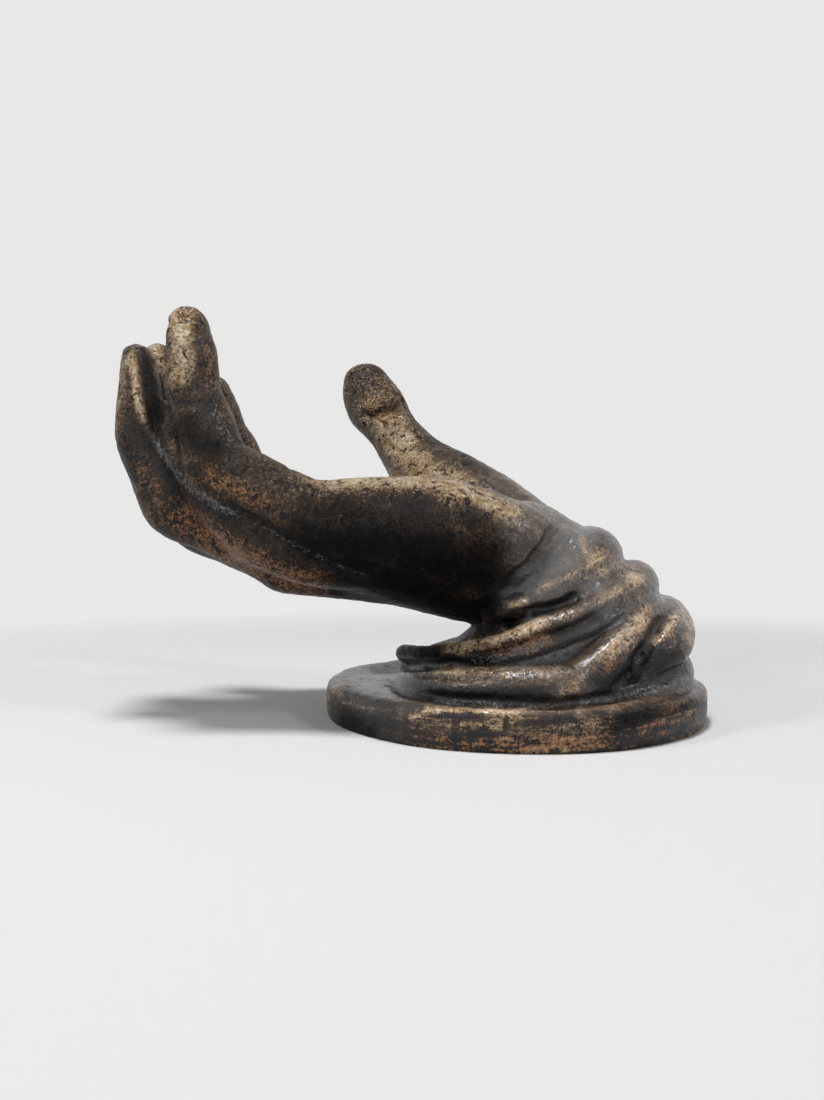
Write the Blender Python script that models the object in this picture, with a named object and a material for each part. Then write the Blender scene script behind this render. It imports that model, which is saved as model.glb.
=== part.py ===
"""Hand sculpture candle holder, cast in one piece.

An open right hand lies palm up, its fingers and thumb rising round the hollow where the candle stands. The wrist
comes out of a heap of folded cloth on a round base. Everything is one solid. Row frame: origin at the centre of the
base's underside, +Z up, fingers towards -X, thumb towards +Y. Sizes in the tables are millimetres, and their zero
lies a little above the underside and beside its centre, see BASE_CENTRE and UNDERSIDE.
"""

import math

import bmesh
import bpy
import numpy as np

MM = 0.001

# Base disc
BASE_RADIUS = 60.0
BASE_CENTRE = (-1.1, 0.0)
BASE_TOP = 10.0
UNDERSIDE = -1.2
BASE_EDGE_ROUND = 2.6
BASE_EDGE_STEPS = 4
BASE_SEGMENTS = 96
# The foot's draft as a share of the rim's rounding, up to this share of the base's height
FOOT_DRAFT = 0.3
FOOT_HEIGHT = 0.35
# How far the bodies reach below the underside, where the casting is cut flat
BELOW_THE_CUT = 2.0

# Hand, as joint positions and phalanx lengths. Rise is each bone's angle above the horizontal, towards the tip.
FINGERS = {
    "little": {
        "knuckle": (-57.5, -28.5, 59.0),
        "bones": (35.5, 23.5, 23.0),
        "rises": (29.0, 68.0, 87.0),
        "yaw": 2.0,
        "half_width": 8.3,
        "belly": 1.28,
        "tip": 1.04,
    },
    "ring": {
        "knuckle": (-73.0, -12.5, 49.5),
        "bones": (36.4, 24.0, 30.8),
        "rises": (24.3, 62.0, 88.0),
        "yaw": 0.5,
        "half_width": 8.9,
        "belly": 1.06,
        "tip": 0.82,
    },
    "middle": {
        "knuckle": (-73.5, 6.0, 47.5),
        "bones": (33.5, 34.5, 30.2),
        "rises": (21.0, 67.0, 91.0),
        "yaw": -1.5,
        "half_width": 8.8,
        "belly": 1.0,
        "tip": 0.8,
    },
    "index": {
        "knuckle": (-66.0, 23.5, 48.0),
        "bones": (36.0, 21.5, 18.5),
        "rises": (46.0, 66.0, 76.0),
        "yaw": -3.0,
        "half_width": 8.6,
        "belly": 1.0,
        "tip": 0.84,
    },
}
# Finger section along its bones: place (0 knuckle, 1 and 2 joints, 3 tip), then half width, back and pad depth as
# shares of the finger's half width
FINGER_SECTIONS = (
    (0.00, 1.14, 1.14, 1.17),
    (0.35, 1.06, 1.06, 1.06),
    (0.65, 1.02, 1.04, 1.02),
    (1.00, 1.06, 1.18, 0.90),
    (1.25, 1.02, 1.06, 0.94),
    (1.55, 0.98, 0.98, 1.00),
    (1.80, 0.95, 0.95, 0.92),
    (2.00, 0.97, 0.95, 0.86),
    (2.25, 0.95, 0.87, 0.92),
    (2.50, 0.92, 0.79, 0.88),
    (2.75, 0.82, 0.72, 0.72),
)
JOINT_ROUNDING = 0.22
FINGER_SQUARENESS = 2.5
# The tip's own share comes in over this span of places, and the belly's goes out over it
TIP_STARTS = 1.8
BELLY_ENDS = 1.6
SHARE_SPAN = 0.6

THUMB_PATH = (
    # x, y, z, half width, back depth, pad depth
    (8.0, 19.0, 52.0, 15.0, 13.0, 14.5),
    (-6.5, 24.5, 62.5, 16.5, 13.0, 17.0),
    (-18.8, 31.5, 72.2, 15.6, 12.5, 16.0),
    (-29.5, 38.5, 81.0, 12.4, 11.5, 12.5),
    (-36.6, 44.5, 90.0, 10.2, 10.0, 10.0),
    (-41.8, 49.0, 97.2, 10.2, 10.0, 5.0),
    (-46.6, 52.5, 105.0, 11.6, 8.8, 9.2),
    (-50.0, 55.5, 112.0, 11.0, 7.2, 9.8),
    (-51.7, 57.8, 117.3, 9.2, 5.6, 7.6),
)
THUMB_SIDE = (-0.9, -0.3, -0.33)

# Palm and wrist, each row as x, y, z, half width (across), back depth, palm depth
PALM_SLAB = (
    (14.0, 1.0, 42.0, 25.0, 16.0, 15.0),
    (4.0, 1.0, 44.0, 26.5, 17.8, 15.5),
    (-12.0, 0.5, 46.0, 29.0, 18.8, 14.5),
    (-34.0, 0.0, 48.5, 34.0, 16.2, 10.5),
    (-56.0, -1.0, 50.5, 36.0, 12.7, 9.0),
    (-74.0, -1.0, 52.5, 33.0, 10.5, 8.0),
)
METACARPALS = {
    "little": (
        (0.0, -15.0, 45.0, 11.0, 11.0, 11.0),
        (-28.0, -24.0, 52.5, 11.0, 11.5, 11.5),
        (-57.0, -29.5, 58.5, 10.0, 10.5, 11.0),
    ),
    "ring": (
        (0.0, -6.0, 43.0, 11.0, 14.0, 11.0),
        (-36.0, -9.5, 46.5, 10.0, 13.2, 9.0),
        (-73.0, -11.5, 49.0, 10.0, 11.3, 10.0),
    ),
    "middle": (
        (0.0, 4.0, 42.5, 11.0, 14.0, 11.0),
        (-36.0, 6.0, 46.0, 10.0, 12.5, 9.0),
        (-75.0, 7.0, 47.5, 10.5, 11.0, 10.0),
    ),
    "index": (
        (0.0, 14.0, 44.0, 11.0, 12.0, 11.0),
        (-34.0, 21.0, 48.5, 10.5, 12.0, 9.0),
        (-69.0, 26.0, 52.0, 10.5, 11.0, 10.5),
    ),
}
# Flesh over the bones, each row as x, y, z, half width, back depth, front depth
FLESH = {
    "outer_palm": (
        (6.0, -15.0, 48.0, 11.0, 12.0, 13.0),
        (-8.0, -20.0, 53.0, 13.5, 14.0, 14.5),
        (-26.0, -24.5, 58.0, 13.5, 15.0, 14.5),
        (-44.0, -26.5, 60.5, 11.8, 14.0, 12.2),
        (-62.0, -28.0, 62.0, 9.0, 12.0, 9.2),
    ),
    "thumb_web": (
        (-8.0, 20.0, 54.0, 13.0, 12.0, 12.0),
        (-22.0, 27.5, 58.0, 11.0, 11.0, 10.0),
        (-36.0, 30.5, 56.5, 9.0, 10.0, 8.0),
        (-50.0, 28.0, 51.5, 8.0, 9.0, 7.0),
    ),
    "little_and_ring_web": (
        (-46.0, -23.0, 49.5, 11.5, 10.5, 9.0),
        (-60.0, -25.0, 50.5, 11.5, 10.8, 9.0),
        (-73.0, -25.0, 53.5, 11.0, 10.0, 9.0),
        (-84.0, -23.5, 59.0, 9.4, 8.6, 8.5),
        (-94.0, -21.5, 68.0, 7.6, 7.2, 7.5),
        (-101.0, -19.5, 77.0, 6.0, 5.6, 6.0),
        (-106.0, -17.0, 86.0, 4.4, 4.2, 4.2),
        (-108.5, -15.0, 95.0, 2.6, 2.6, 2.4),
    ),
    "ring_and_middle_web": (
        (-66.0, -2.5, 48.5, 7.0, 9.0, 9.0),
        (-78.0, -2.5, 51.0, 7.0, 9.0, 9.0),
        (-88.0, -2.5, 55.0, 6.0, 7.5, 8.0),
    ),
    "middle_and_index_web": (
        (-62.0, 15.0, 50.0, 7.0, 9.0, 9.0),
        (-72.0, 15.0, 53.5, 7.0, 9.0, 9.0),
        (-81.0, 15.0, 58.5, 6.0, 7.5, 8.0),
    ),
}

# Cloth heap: level outlines as z, centre x, centre y, half length along x, half width along y
CLOTH_LEVELS = (
    (3.0, 8.5, 0.0, 44.0, 47.5),
    (10.0, 9.5, 0.0, 42.5, 44.5),
    (15.0, 11.0, 0.0, 41.5, 41.0),
    (21.0, 16.0, 0.0, 36.5, 38.0),
    (28.0, 19.0, 0.0, 31.5, 34.5),
    (36.0, 17.5, 0.0, 25.0, 31.5),
    (44.0, 13.0, 0.0, 18.5, 26.0),
    (50.0, 10.0, 1.0, 12.0, 21.0),
)
# The cuff round the wrist, each row as x, y, z, half width, back depth and front depth
SLEEVE = (
    (28.0, 0.5, 18.0, 32.0, 17.0, 20.0),
    (20.0, 0.5, 26.0, 33.0, 18.5, 22.0),
    (13.0, 0.5, 33.5, 32.0, 18.5, 22.5),
    (6.5, 0.5, 40.5, 30.5, 18.0, 23.5),
    (2.0, 0.5, 44.5, 28.0, 16.5, 22.3),
)
# Folds of the cloth, each row as x, y, z, radius
FOLDS = {
    "lower_sweep": (
        (-34.6, -5.0, 11.4, 3.6),
        (-30.0, -21.0, 11.6, 5.0),
        (-21.0, -34.5, 12.0, 6.0),
        (-9.0, -41.5, 12.0, 6.8),
        (3.0, -43.0, 12.3, 7.0),
        (12.0, -42.5, 13.6, 6.8),
        (19.0, -39.5, 18.2, 6.4),
        (26.4, -34.5, 24.2, 6.0),
        (33.4, -26.5, 30.0, 5.6),
        (39.2, -15.0, 33.6, 5.3),
        (40.5, 0.0, 34.5, 5.2),
        (38.5, 16.0, 33.0, 5.5),
        (29.0, 30.0, 27.0, 6.0),
        (12.0, 39.5, 19.0, 6.5),
        (-10.0, 37.0, 13.5, 6.0),
        (-27.0, 22.0, 11.5, 5.0),
    ),
    "upper_sweep": (
        (-36.2, 1.0, 17.4, 3.2),
        (-30.0, -13.0, 18.0, 3.9),
        (-19.0, -22.5, 19.4, 4.4),
        (-8.0, -31.0, 22.4, 4.7),
        (2.0, -35.0, 26.5, 5.0),
        (11.0, -35.0, 30.0, 5.2),
        (20.5, -31.0, 33.0, 5.8),
        (31.0, -20.0, 36.5, 6.8),
        (37.0, -4.0, 40.0, 8.2),
        (35.5, 12.0, 38.0, 7.2),
        (22.0, 26.0, 33.5, 6.0),
        (8.0, 34.0, 26.0, 5.5),
        (-10.0, 31.0, 17.5, 5.0),
        (-28.0, 14.0, 14.5, 4.0),
    ),
    "shoulder": (
        (31.0, -35.0, 16.0, 3.6),
        (37.0, -31.5, 20.0, 5.6),
        (42.0, -24.0, 23.4, 7.3),
        (44.8, -12.0, 26.6, 8.9),
        (45.7, 2.0, 27.4, 9.4),
        (44.0, 18.0, 23.0, 8.0),
        (36.5, 32.0, 18.0, 7.0),
        (20.0, 42.0, 13.5, 5.5),
    ),
    "skirt": (
        (18.0, -39.5, 9.0, 5.5),
        (33.0, -32.5, 11.0, 6.3),
        (44.5, -19.0, 13.0, 6.5),
        (48.5, -3.0, 14.0, 6.5),
        (45.5, 14.0, 13.0, 6.6),
        (35.0, 31.0, 11.0, 6.5),
    ),
    "hem_end": (
        (2.0, -43.0, 8.5, 3.4),
        (10.5, -43.8, 9.2, 3.7),
        (16.5, -42.0, 10.8, 3.0),
    ),
    "crown": (
        (12.0, -24.0, 38.0, 4.5),
        (18.0, -21.5, 42.5, 7.6),
        (22.0, -13.0, 47.0, 9.8),
        (23.5, 0.0, 48.0, 11.0),
        (20.5, 13.0, 46.5, 9.8),
        (13.0, 24.0, 40.5, 6.5),
        (2.0, 28.0, 34.0, 4.4),
    ),
    "hem": (
        (-6.5, -21.5, 26.5, 3.0),
        (-10.0, -22.0, 30.0, 2.8),
        (-7.5, -24.5, 33.5, 3.2),
        (-2.0, -26.0, 34.5, 3.6),
    ),
}

# Lines worked into the skin: how far they reach to each side, how far they move it (in where negative), and the
# points they pass through. The points are x and z on the plane y = 0 as seen from the viewpoint in front.
VIEWPOINT = (-34.0, -276.0, 51.0)
FRONT_LINES = {
    "thumb_joint": (3.4, -1.7, ((-50.5, 93.5), (-46.0, 96.0), (-41.5, 98.0), (-36.0, 99.0))),
    "thumb_root": (2.6, -0.8, ((-40.0, 79.0), (-34.0, 83.5), (-27.0, 86.0), (-21.0, 85.5))),
    "between_little_and_ring": (
        1.9,
        -0.8,
        (
            (-112.9, 103.0),
            (-112.9, 97.5),
            (-110.7, 90.6),
            (-106.8, 81.7),
            (-102.2, 72.8),
            (-94.4, 67.3),
            (-87.6, 62.7),
            (-79.8, 58.8),
            (-69.7, 52.0),
            (-59.7, 47.1),
            (-49.6, 43.2),
        ),
    ),
    "ring_finger_ridge": (2.4, 0.8, ((-124.9, 116.0), (-123.3, 107.2), (-122.3, 99.1), (-119.5, 90.5), (-114.5, 82.0))),
    "beside_the_ring_finger": (3.0, -1.0, ((-119.1, 116.3), (-120.1, 111.1), (-118.4, 99.1), (-115.2, 90.0))),
    "along_the_back_of_the_hand": (3.4, -0.9, ((-56.0, 46.5), (-38.0, 42.0), (-25.0, 38.5), (-15.0, 35.0))),
    "under_the_palm_edge": (6.0, -1.3, ((-64.0, 65.0), (-48.0, 65.0), (-35.0, 65.5), (-22.0, 63.5), (-8.0, 58.0))),
    "cuff_edge": (
        2.4,
        -1.3,
        ((13.5, 60.0), (11.5, 57.0), (9.5, 53.0), (7.0, 49.5), (4.0, 46.0), (0.5, 43.5), (-2.0, 40.5), (-3.0, 37.0)),
    ),
    "cuff_slot": (2.4, -1.8, ((-3.0, 30.0), (7.0, 31.5), (15.0, 33.5), (21.0, 37.0))),
    "between_the_sweeps": (
        3.8,
        -2.0,
        (
            (-12.0, 17.5),
            (-5.0, 18.2),
            (5.0, 20.8),
            (12.0, 23.0),
            (19.0, 25.2),
            (24.7, 28.0),
            (31.0, 32.5),
            (37.0, 36.5),
            (42.0, 39.5),
        ),
    ),
    "bunch_roll": (2.6, -2.2, ((-50.0, 12.6), (-41.0, 13.2), (-34.0, 13.6), (-26.0, 14.0), (-14.0, 14.4))),
    "bunch_top_fold": (1.7, -1.1, ((-37.0, 18.8), (-28.0, 19.0), (-18.0, 19.4), (-4.0, 21.4))),
    "bunch_upper_fold": (1.7, -1.1, ((-40.0, 17.0), (-28.0, 17.0), (-14.0, 17.3), (3.0, 18.6))),
    "bunch_lower_fold": (1.6, -0.9, ((-33.0, 10.6), (-20.0, 9.6), (-4.0, 9.0))),
    "crown_notch": (3.0, -0.9, ((22.0, 42.0), (28.0, 45.0), (33.5, 48.0), (37.0, 50.0))),
    "shoulder_notch": (3.0, -0.8, ((43.0, 33.0), (46.5, 36.0), (50.0, 38.5))),
    "shoulder_valley": (3.4, -1.2, ((38.0, 14.0), (42.0, 18.5), (44.5, 23.5), (47.0, 30.0))),
    "shoulder_ridge": (3.2, 1.0, ((43.5, 18.5), (47.0, 21.5), (50.5, 25.5), (54.0, 31.0))),
    "hem_edge": (
        2.4,
        -1.9,
        ((-42.0, 8.5), (-36.0, 5.0), (-28.2, 3.4), (-11.9, 2.0), (4.3, 1.2), (14.7, 1.2), (22.0, 1.8)),
    ),
    "skirt_edge": (2.6, -1.2, ((17.0, 1.4), (27.0, 2.3), (36.0, 4.0), (46.0, 7.6), (56.0, 12.4))),
    "below_the_sweep": (9.0, -1.2, ((20.0, 7.0), (33.5, 10.5), (45.0, 14.5), (55.0, 17.0))),
}
LINE_FADE = 0.22
# Skin that turns away from the viewpoint takes less of a line: gain and floor of the turn's cosine
FACING_GAIN = 2.5
FACING_FLOOR = 0.4
# Creases of the palm, as x and y on skin that faces up
PALM_LINES = {
    "life": (3.0, -0.8, ((-52.0, 20.0), (-40.0, 12.0), (-27.0, 5.0), (-14.0, 3.0), (-4.0, 4.5))),
    "head": (2.4, -0.6, ((-53.0, 18.0), (-46.0, 8.0), (-38.0, -4.0), (-30.0, -14.0))),
    "heart": (2.4, -0.6, ((-66.0, 8.0), (-61.0, -3.0), (-54.0, -13.0), (-48.0, -23.0))),
}
PALM_LEVEL = 46.0
# Creases across a finger, each as its place, how far it reaches, how far it moves the skin and its side
FINGER_CREASES = (
    (0.50, 1.8, -0.45, "pad"),
    (0.96, 1.6, -0.35, "pad"),
    (1.06, 1.6, -0.35, "pad"),
    (2.00, 1.7, -0.45, "pad"),
    (0.90, 1.5, -0.30, "back"),
    (1.00, 1.5, -0.40, "back"),
    (1.10, 1.5, -0.30, "back"),
    (1.99, 1.5, -0.30, "back"),
)
CREASE_SWEEP = math.radians(52.0)
CREASE_POINTS = 7
CREASE_STEP = 0.05
# A nail as shares: where its root and end lie along the last bone, and its half width of the finger's
NAIL_ROOT = 0.40
NAIL_END = 0.86
NAIL_HALF = 0.62
NAIL_SINK = 1.1
NAIL_SIDE_SLOPE = 0.2
NAIL_ROOT_SLOPE = 0.15
NAIL_REACH = 1.6
NAIL_FACING = 0.2
# The row of the thumb's path that is its last joint
THUMB_JOINT_ROW = 5

# How fine the casting is worked, and how far it is cut back for the finished solid
VOXEL = 1.1
SOFTNESS = 7.5
HAND_SOFTNESS = 17.5
# The hand lies on this side of the cuff's mouth
CUFF_MOUTH = (0.0, 0.0, 43.5)
OUT_OF_CUFF = (-0.75, 0.0, 0.66)
FINISHED_TRIANGLES = 10900
RING_POINTS = 28
SPAN_STEPS = 6
CAP_STEPS = 5
LINE_STEPS = 12
# A section's roundness: 2 is an ellipse, and more is squarer
LIMB_SQUARENESS = 2.2


def clear_scene():
    for existing in list(bpy.data.objects):
        bpy.data.objects.remove(existing, do_unlink=True)


def smooth_rows(rows, steps=SPAN_STEPS):
    """Rows of numbers, filled in along a Catmull-Rom curve through all of them."""
    table = np.array(rows, float)
    ends = np.vstack([2 * table[0] - table[1], table, 2 * table[-1] - table[-2]])
    filled = []
    for i in range(len(table) - 1):
        a, b, c, d = ends[i : i + 4]
        for t in np.arange(steps) / steps:
            filled.append(
                0.5 * (2 * b + (c - a) * t + (2 * a - 5 * b + 4 * c - d) * t**2 + (3 * b - a - 3 * c + d) * t**3)
            )
    filled.append(table[-1])
    return np.array(filled)


def unit(v):
    v = np.asarray(v, float)
    return v / max(np.linalg.norm(v), 1e-9)


def add_limb(mesh, rows, side, squareness=LIMB_SQUARENESS):
    """A closed round-ended body along rows of x, y, z, half width, back depth and front depth. Side points across."""
    rows = smooth_rows(rows)
    centres = rows[:, :3]
    tangents = np.gradient(centres, axis=0)
    first, last = unit(tangents[0]), unit(tangents[-1])
    sections = []
    for k in range(CAP_STEPS, 0, -1):
        sections.append((rows[0], first, -1.0, k / CAP_STEPS))
    for row, tangent in zip(rows, tangents):
        sections.append((row, unit(tangent), 0.0, 0.0))
    for k in range(1, CAP_STEPS + 1):
        sections.append((rows[-1], last, 1.0, k / CAP_STEPS))
    rings, poles = [], []
    for row, along, sense, share in sections:
        across = unit(np.asarray(side, float) - np.dot(side, along) * along)
        front = np.cross(across, along)
        reach = math.sin(share * math.pi / 2)
        shrink = math.cos(share * math.pi / 2)
        bulge = 0.5 * row[3] + 0.25 * (row[4] + row[5])
        centre = row[:3] + sense * reach * bulge * along
        if share == 1.0:
            poles.append(mesh.verts.new(centre))
            continue
        ring = []
        for i in range(RING_POINTS):
            angle = 2 * math.pi * i / RING_POINTS
            c, s = math.cos(angle), math.sin(angle)
            power = 2.0 / squareness
            u = math.copysign(abs(c) ** power, c) * row[3] * shrink
            v = math.copysign(abs(s) ** power, s) * (row[5] if s > 0 else row[4]) * shrink
            ring.append(mesh.verts.new(centre + u * across + v * front))
        rings.append(ring)
    for low, high in zip(rings, rings[1:]):
        for i in range(RING_POINTS):
            j = (i + 1) % RING_POINTS
            mesh.faces.new((low[i], low[j], high[j], high[i]))
    for i in range(RING_POINTS):
        j = (i + 1) % RING_POINTS
        mesh.faces.new((poles[0], rings[0][j], rings[0][i]))
        mesh.faces.new((poles[1], rings[-1][i], rings[-1][j]))


def add_fold(mesh, rows):
    """A round tube along rows of x, y, z and radius."""
    add_limb(mesh, [(x, y, z, r, r, r) for x, y, z, r in rows], (0.0, 0.0, 1.0), squareness=2.0)


def add_levels(mesh, levels):
    """A closed heap through level outlines of z, centre x, centre y, half length and half width."""
    rows = smooth_rows(levels)
    rings = []
    for z, cx, cy, half_x, half_y in rows:
        ring = []
        for i in range(2 * RING_POINTS):
            angle = math.pi * i / RING_POINTS
            ring.append(mesh.verts.new((cx + half_x * math.cos(angle), cy + half_y * math.sin(angle), z)))
        rings.append(ring)
    count = 2 * RING_POINTS
    for low, high in zip(rings, rings[1:]):
        for i in range(count):
            j = (i + 1) % count
            mesh.faces.new((low[i], low[j], high[j], high[i]))
    mesh.faces.new(list(reversed(rings[0])))
    mesh.faces.new(rings[-1])


def add_base(mesh):
    """The disc, with a rounded upper rim and a slight draft at its foot."""
    profile = [
        (BASE_RADIUS - 2.0 * FOOT_DRAFT * BASE_EDGE_ROUND, UNDERSIDE - BELOW_THE_CUT),
        (BASE_RADIUS - FOOT_DRAFT * BASE_EDGE_ROUND, UNDERSIDE),
        (BASE_RADIUS, UNDERSIDE + FOOT_HEIGHT * (BASE_TOP - UNDERSIDE)),
    ]
    for k in range(BASE_EDGE_STEPS + 1):
        angle = math.pi / 2 * k / BASE_EDGE_STEPS
        out, up = BASE_EDGE_ROUND * math.cos(angle), BASE_EDGE_ROUND * math.sin(angle)
        profile.append((BASE_RADIUS - BASE_EDGE_ROUND + out, BASE_TOP - BASE_EDGE_ROUND + up))
    rings = []
    for radius, z in profile:
        ring = []
        for i in range(BASE_SEGMENTS):
            angle = 2 * math.pi * i / BASE_SEGMENTS
            x = BASE_CENTRE[0] + radius * math.cos(angle)
            y = BASE_CENTRE[1] + radius * math.sin(angle)
            ring.append(mesh.verts.new((x, y, z)))
        rings.append(ring)
    for low, high in zip(rings, rings[1:]):
        for i in range(BASE_SEGMENTS):
            j = (i + 1) % BASE_SEGMENTS
            mesh.faces.new((low[i], low[j], high[j], high[i]))
    mesh.faces.new(list(reversed(rings[0])))
    mesh.faces.new(rings[-1])


def finger_joints(finger):
    """The knuckle, both joints and the tip of a finger, and its direction across."""
    yaw = math.radians(finger["yaw"])
    points = [np.array(finger["knuckle"], float)]
    for bone, rise in zip(finger["bones"], finger["rises"]):
        rise = math.radians(rise)
        step = (-math.cos(rise) * math.cos(yaw), -math.cos(rise) * math.sin(yaw), math.sin(rise))
        points.append(points[-1] + bone * np.array(step))
    across = (-math.sin(yaw), math.cos(yaw), 0.0)
    return points, across


def along_bones(points, place):
    """The point at a place along a chain of bones, with the corners at its joints rounded off."""
    total = np.zeros(3)
    for offset, weight in ((-JOINT_ROUNDING, 0.25), (0.0, 0.5), (JOINT_ROUNDING, 0.25)):
        at = min(max(place + offset, 0.0), 3.0)
        i = min(int(at), 2)
        total += weight * (points[i] + (at - i) * (points[i + 1] - points[i]))
    return total


def add_finger(mesh, finger):
    points, across = finger_joints(finger)
    rows = []
    for place, width, back, pad in FINGER_SECTIONS:
        slim = 1.0 + (finger["tip"] - 1.0) * min(max(place - TIP_STARTS, 0.0) / SHARE_SPAN, 1.0)
        belly = 1.0 + (finger["belly"] - 1.0) * min(max(BELLY_ENDS - place, 0.0) / SHARE_SPAN, 1.0)
        shares = (width, back * belly * slim, pad * slim)
        rows.append((*along_bones(points, place), *(finger["half_width"] * share for share in shares)))
    add_limb(mesh, rows, across, FINGER_SQUARENESS)


def blocked_out():
    """All the overlapping bodies of the sculpture in one mesh, before they are fused."""
    mesh = bmesh.new()
    add_base(mesh)
    add_levels(mesh, CLOTH_LEVELS)
    for rows in FOLDS.values():
        add_fold(mesh, rows)
    across = (0.0, 1.0, 0.0)
    add_limb(mesh, SLEEVE, across)
    add_limb(mesh, PALM_SLAB, across)
    for rows in METACARPALS.values():
        add_limb(mesh, rows, across)
    for rows in FLESH.values():
        add_limb(mesh, rows, across)
    add_limb(mesh, THUMB_PATH, THUMB_SIDE)
    for finger in FINGERS.values():
        add_finger(mesh, finger)
    bmesh.ops.recalc_face_normals(mesh, faces=mesh.faces)
    data = bpy.data.meshes.new("blocked_out")
    mesh.to_mesh(data)
    mesh.free()
    return data


def evaluated_mesh(obj):
    """The object's mesh with its modifiers in it."""
    bpy.context.view_layer.update()
    graph = bpy.context.evaluated_depsgraph_get()
    return bpy.data.meshes.new_from_object(obj.evaluated_get(graph))


def soften(obj, softness, group=""):
    """Smooths the skin. Softness is an area in square millimetres, so it does the same at any voxel size."""
    modifier = obj.modifiers.new("soften", "SMOOTH")
    modifier.factor = 0.5
    modifier.iterations = round(softness / VOXEL**2)
    modifier.vertex_group = group


def drop_inner_skins(obj):
    """Fills each small space that the bodies enclose, by taking out every closed skin but the outer, largest one."""
    mesh = bmesh.new()
    mesh.from_mesh(obj.data)
    unseen = set(mesh.faces)
    skins = []
    while unseen:
        reached = [unseen.pop()]
        for face in reached:
            near = {other for edge in face.edges for other in edge.link_faces} & unseen
            unseen -= near
            reached.extend(near)
        skins.append(reached)
    skins.sort(key=len)
    for inner in skins[:-1]:
        bmesh.ops.delete(mesh, geom=inner, context="FACES")
    mesh.to_mesh(obj.data)
    mesh.free()


def fuse(obj):
    """Turns the overlapping bodies into one closed skin and softens where they meet, the hand more than the cloth."""
    remesh = obj.modifiers.new("fuse", "REMESH")
    remesh.mode = "VOXEL"
    remesh.voxel_size = VOXEL
    soften(obj, SOFTNESS)
    obj.data = evaluated_mesh(obj)
    obj.modifiers.clear()
    drop_inner_skins(obj)
    points, _ = skin(obj)
    out = (points - np.array(CUFF_MOUTH)) @ np.array(OUT_OF_CUFF)
    hand = obj.vertex_groups.new(name="hand")
    hand.add(np.flatnonzero(out > 0.0).tolist(), 1.0, "REPLACE")
    soften(obj, HAND_SOFTNESS, "hand")
    obj.data = evaluated_mesh(obj)
    obj.modifiers.clear()
    obj.vertex_groups.clear()


def skin(obj):
    """The mesh's points and their normals as arrays."""
    count = len(obj.data.vertices)
    points = np.empty(3 * count)
    normals = np.empty(3 * count)
    obj.data.vertices.foreach_get("co", points)
    obj.data.vertex_normals.foreach_get("vector", normals)
    return points.reshape(-1, 3), normals.reshape(-1, 3)


def line_strength(places, path, reach):
    """How strongly each place is under a line: 1 on it, 0 past its reach, and fading towards the line's ends."""
    line = smooth_rows(path, LINE_STEPS)
    strength = np.zeros(len(places))
    near = np.all((places > line.min(0) - reach) & (places < line.max(0) + reach), axis=1)
    gaps = np.linalg.norm(places[near, None] - line[None], axis=2)
    along = gaps.argmin(axis=1) / (len(line) - 1)
    share = np.clip(1.0 - (gaps.min(axis=1) / reach) ** 2, 0.0, 1.0)
    fade = np.clip(np.minimum(along, 1.0 - along) / LINE_FADE, 0.0, 1.0)
    strength[near] = share**2 * fade * (2.0 - fade)
    return strength


def seen_from_front(points):
    """Where each point shows on the plane y = 0 from the viewpoint, as x and z."""
    view = np.array(VIEWPOINT)
    spread = -view[1] / (points[:, 1] - view[1])
    return view[[0, 2]] + (points[:, [0, 2]] - view[[0, 2]]) * spread[:, None]


def facing_front(points, normals):
    """How far each point's skin faces the viewpoint, from 0 to 1."""
    towards = np.array(VIEWPOINT) - points
    towards /= np.linalg.norm(towards, axis=1)[:, None]
    return np.clip(FACING_GAIN * np.sum(normals * towards, axis=1) + FACING_FLOOR, 0.0, 1.0)


def front_moves(points, normals):
    places = seen_from_front(points)
    facing = facing_front(points, normals)
    moves = np.zeros(len(points))
    for reach, move, path in FRONT_LINES.values():
        moves += move * facing * line_strength(places, path, reach)
    return moves


def palm_moves(points, normals):
    facing = np.clip(FACING_GAIN * normals[:, 2], 0.0, 1.0) * (points[:, 2] > PALM_LEVEL)
    moves = np.zeros(len(points))
    for reach, move, path in PALM_LINES.values():
        moves += move * facing * line_strength(points[:, :2], path, reach)
    return moves


def finger_moves(points, normals, finger):
    """The creases of one finger and the nail on its back."""
    joints, across = finger_joints(finger)
    across = np.array(across)
    moves = np.zeros(len(points))
    for place, reach, move, side in FINGER_CREASES:
        centre = along_bones(joints, place)
        along = unit(along_bones(joints, place + CREASE_STEP) - along_bones(joints, place - CREASE_STEP))
        front = np.cross(across, along) * (1.0 if side == "pad" else -1.0)
        path = []
        for angle in np.linspace(-CREASE_SWEEP, CREASE_SWEEP, CREASE_POINTS):
            path.append(centre + finger["half_width"] * (math.sin(angle) * across + math.cos(angle) * front))
        facing = np.clip(FACING_GAIN * normals @ front, 0.0, 1.0)
        moves += move * facing * line_strength(points, path, reach)
    return moves + nail_moves(points, normals, joints[2], joints[3], across, finger["half_width"])


def nail_moves(points, normals, joint, tip, across, half_width):
    """The sunk plate of the nail on the back of a last bone, which runs from its joint to its tip."""
    length = np.linalg.norm(tip - joint)
    along = (tip - joint) / length
    back = -np.cross(across, along)
    offset = points - joint
    place = (offset @ along / length - NAIL_ROOT) / (NAIL_END - NAIL_ROOT)
    sideways = np.abs(offset @ across) / (NAIL_HALF * half_width)
    plate = np.clip((1.0 - sideways) / NAIL_SIDE_SLOPE, 0.0, 1.0)
    plate *= np.clip(place / NAIL_ROOT_SLOPE, 0.0, 1.0) * np.clip((1.0 - place) / NAIL_SIDE_SLOPE, 0.0, 1.0)
    plate *= (np.linalg.norm(offset, axis=1) < NAIL_REACH * length) & (normals @ back > NAIL_FACING)
    return -NAIL_SINK * plate


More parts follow.
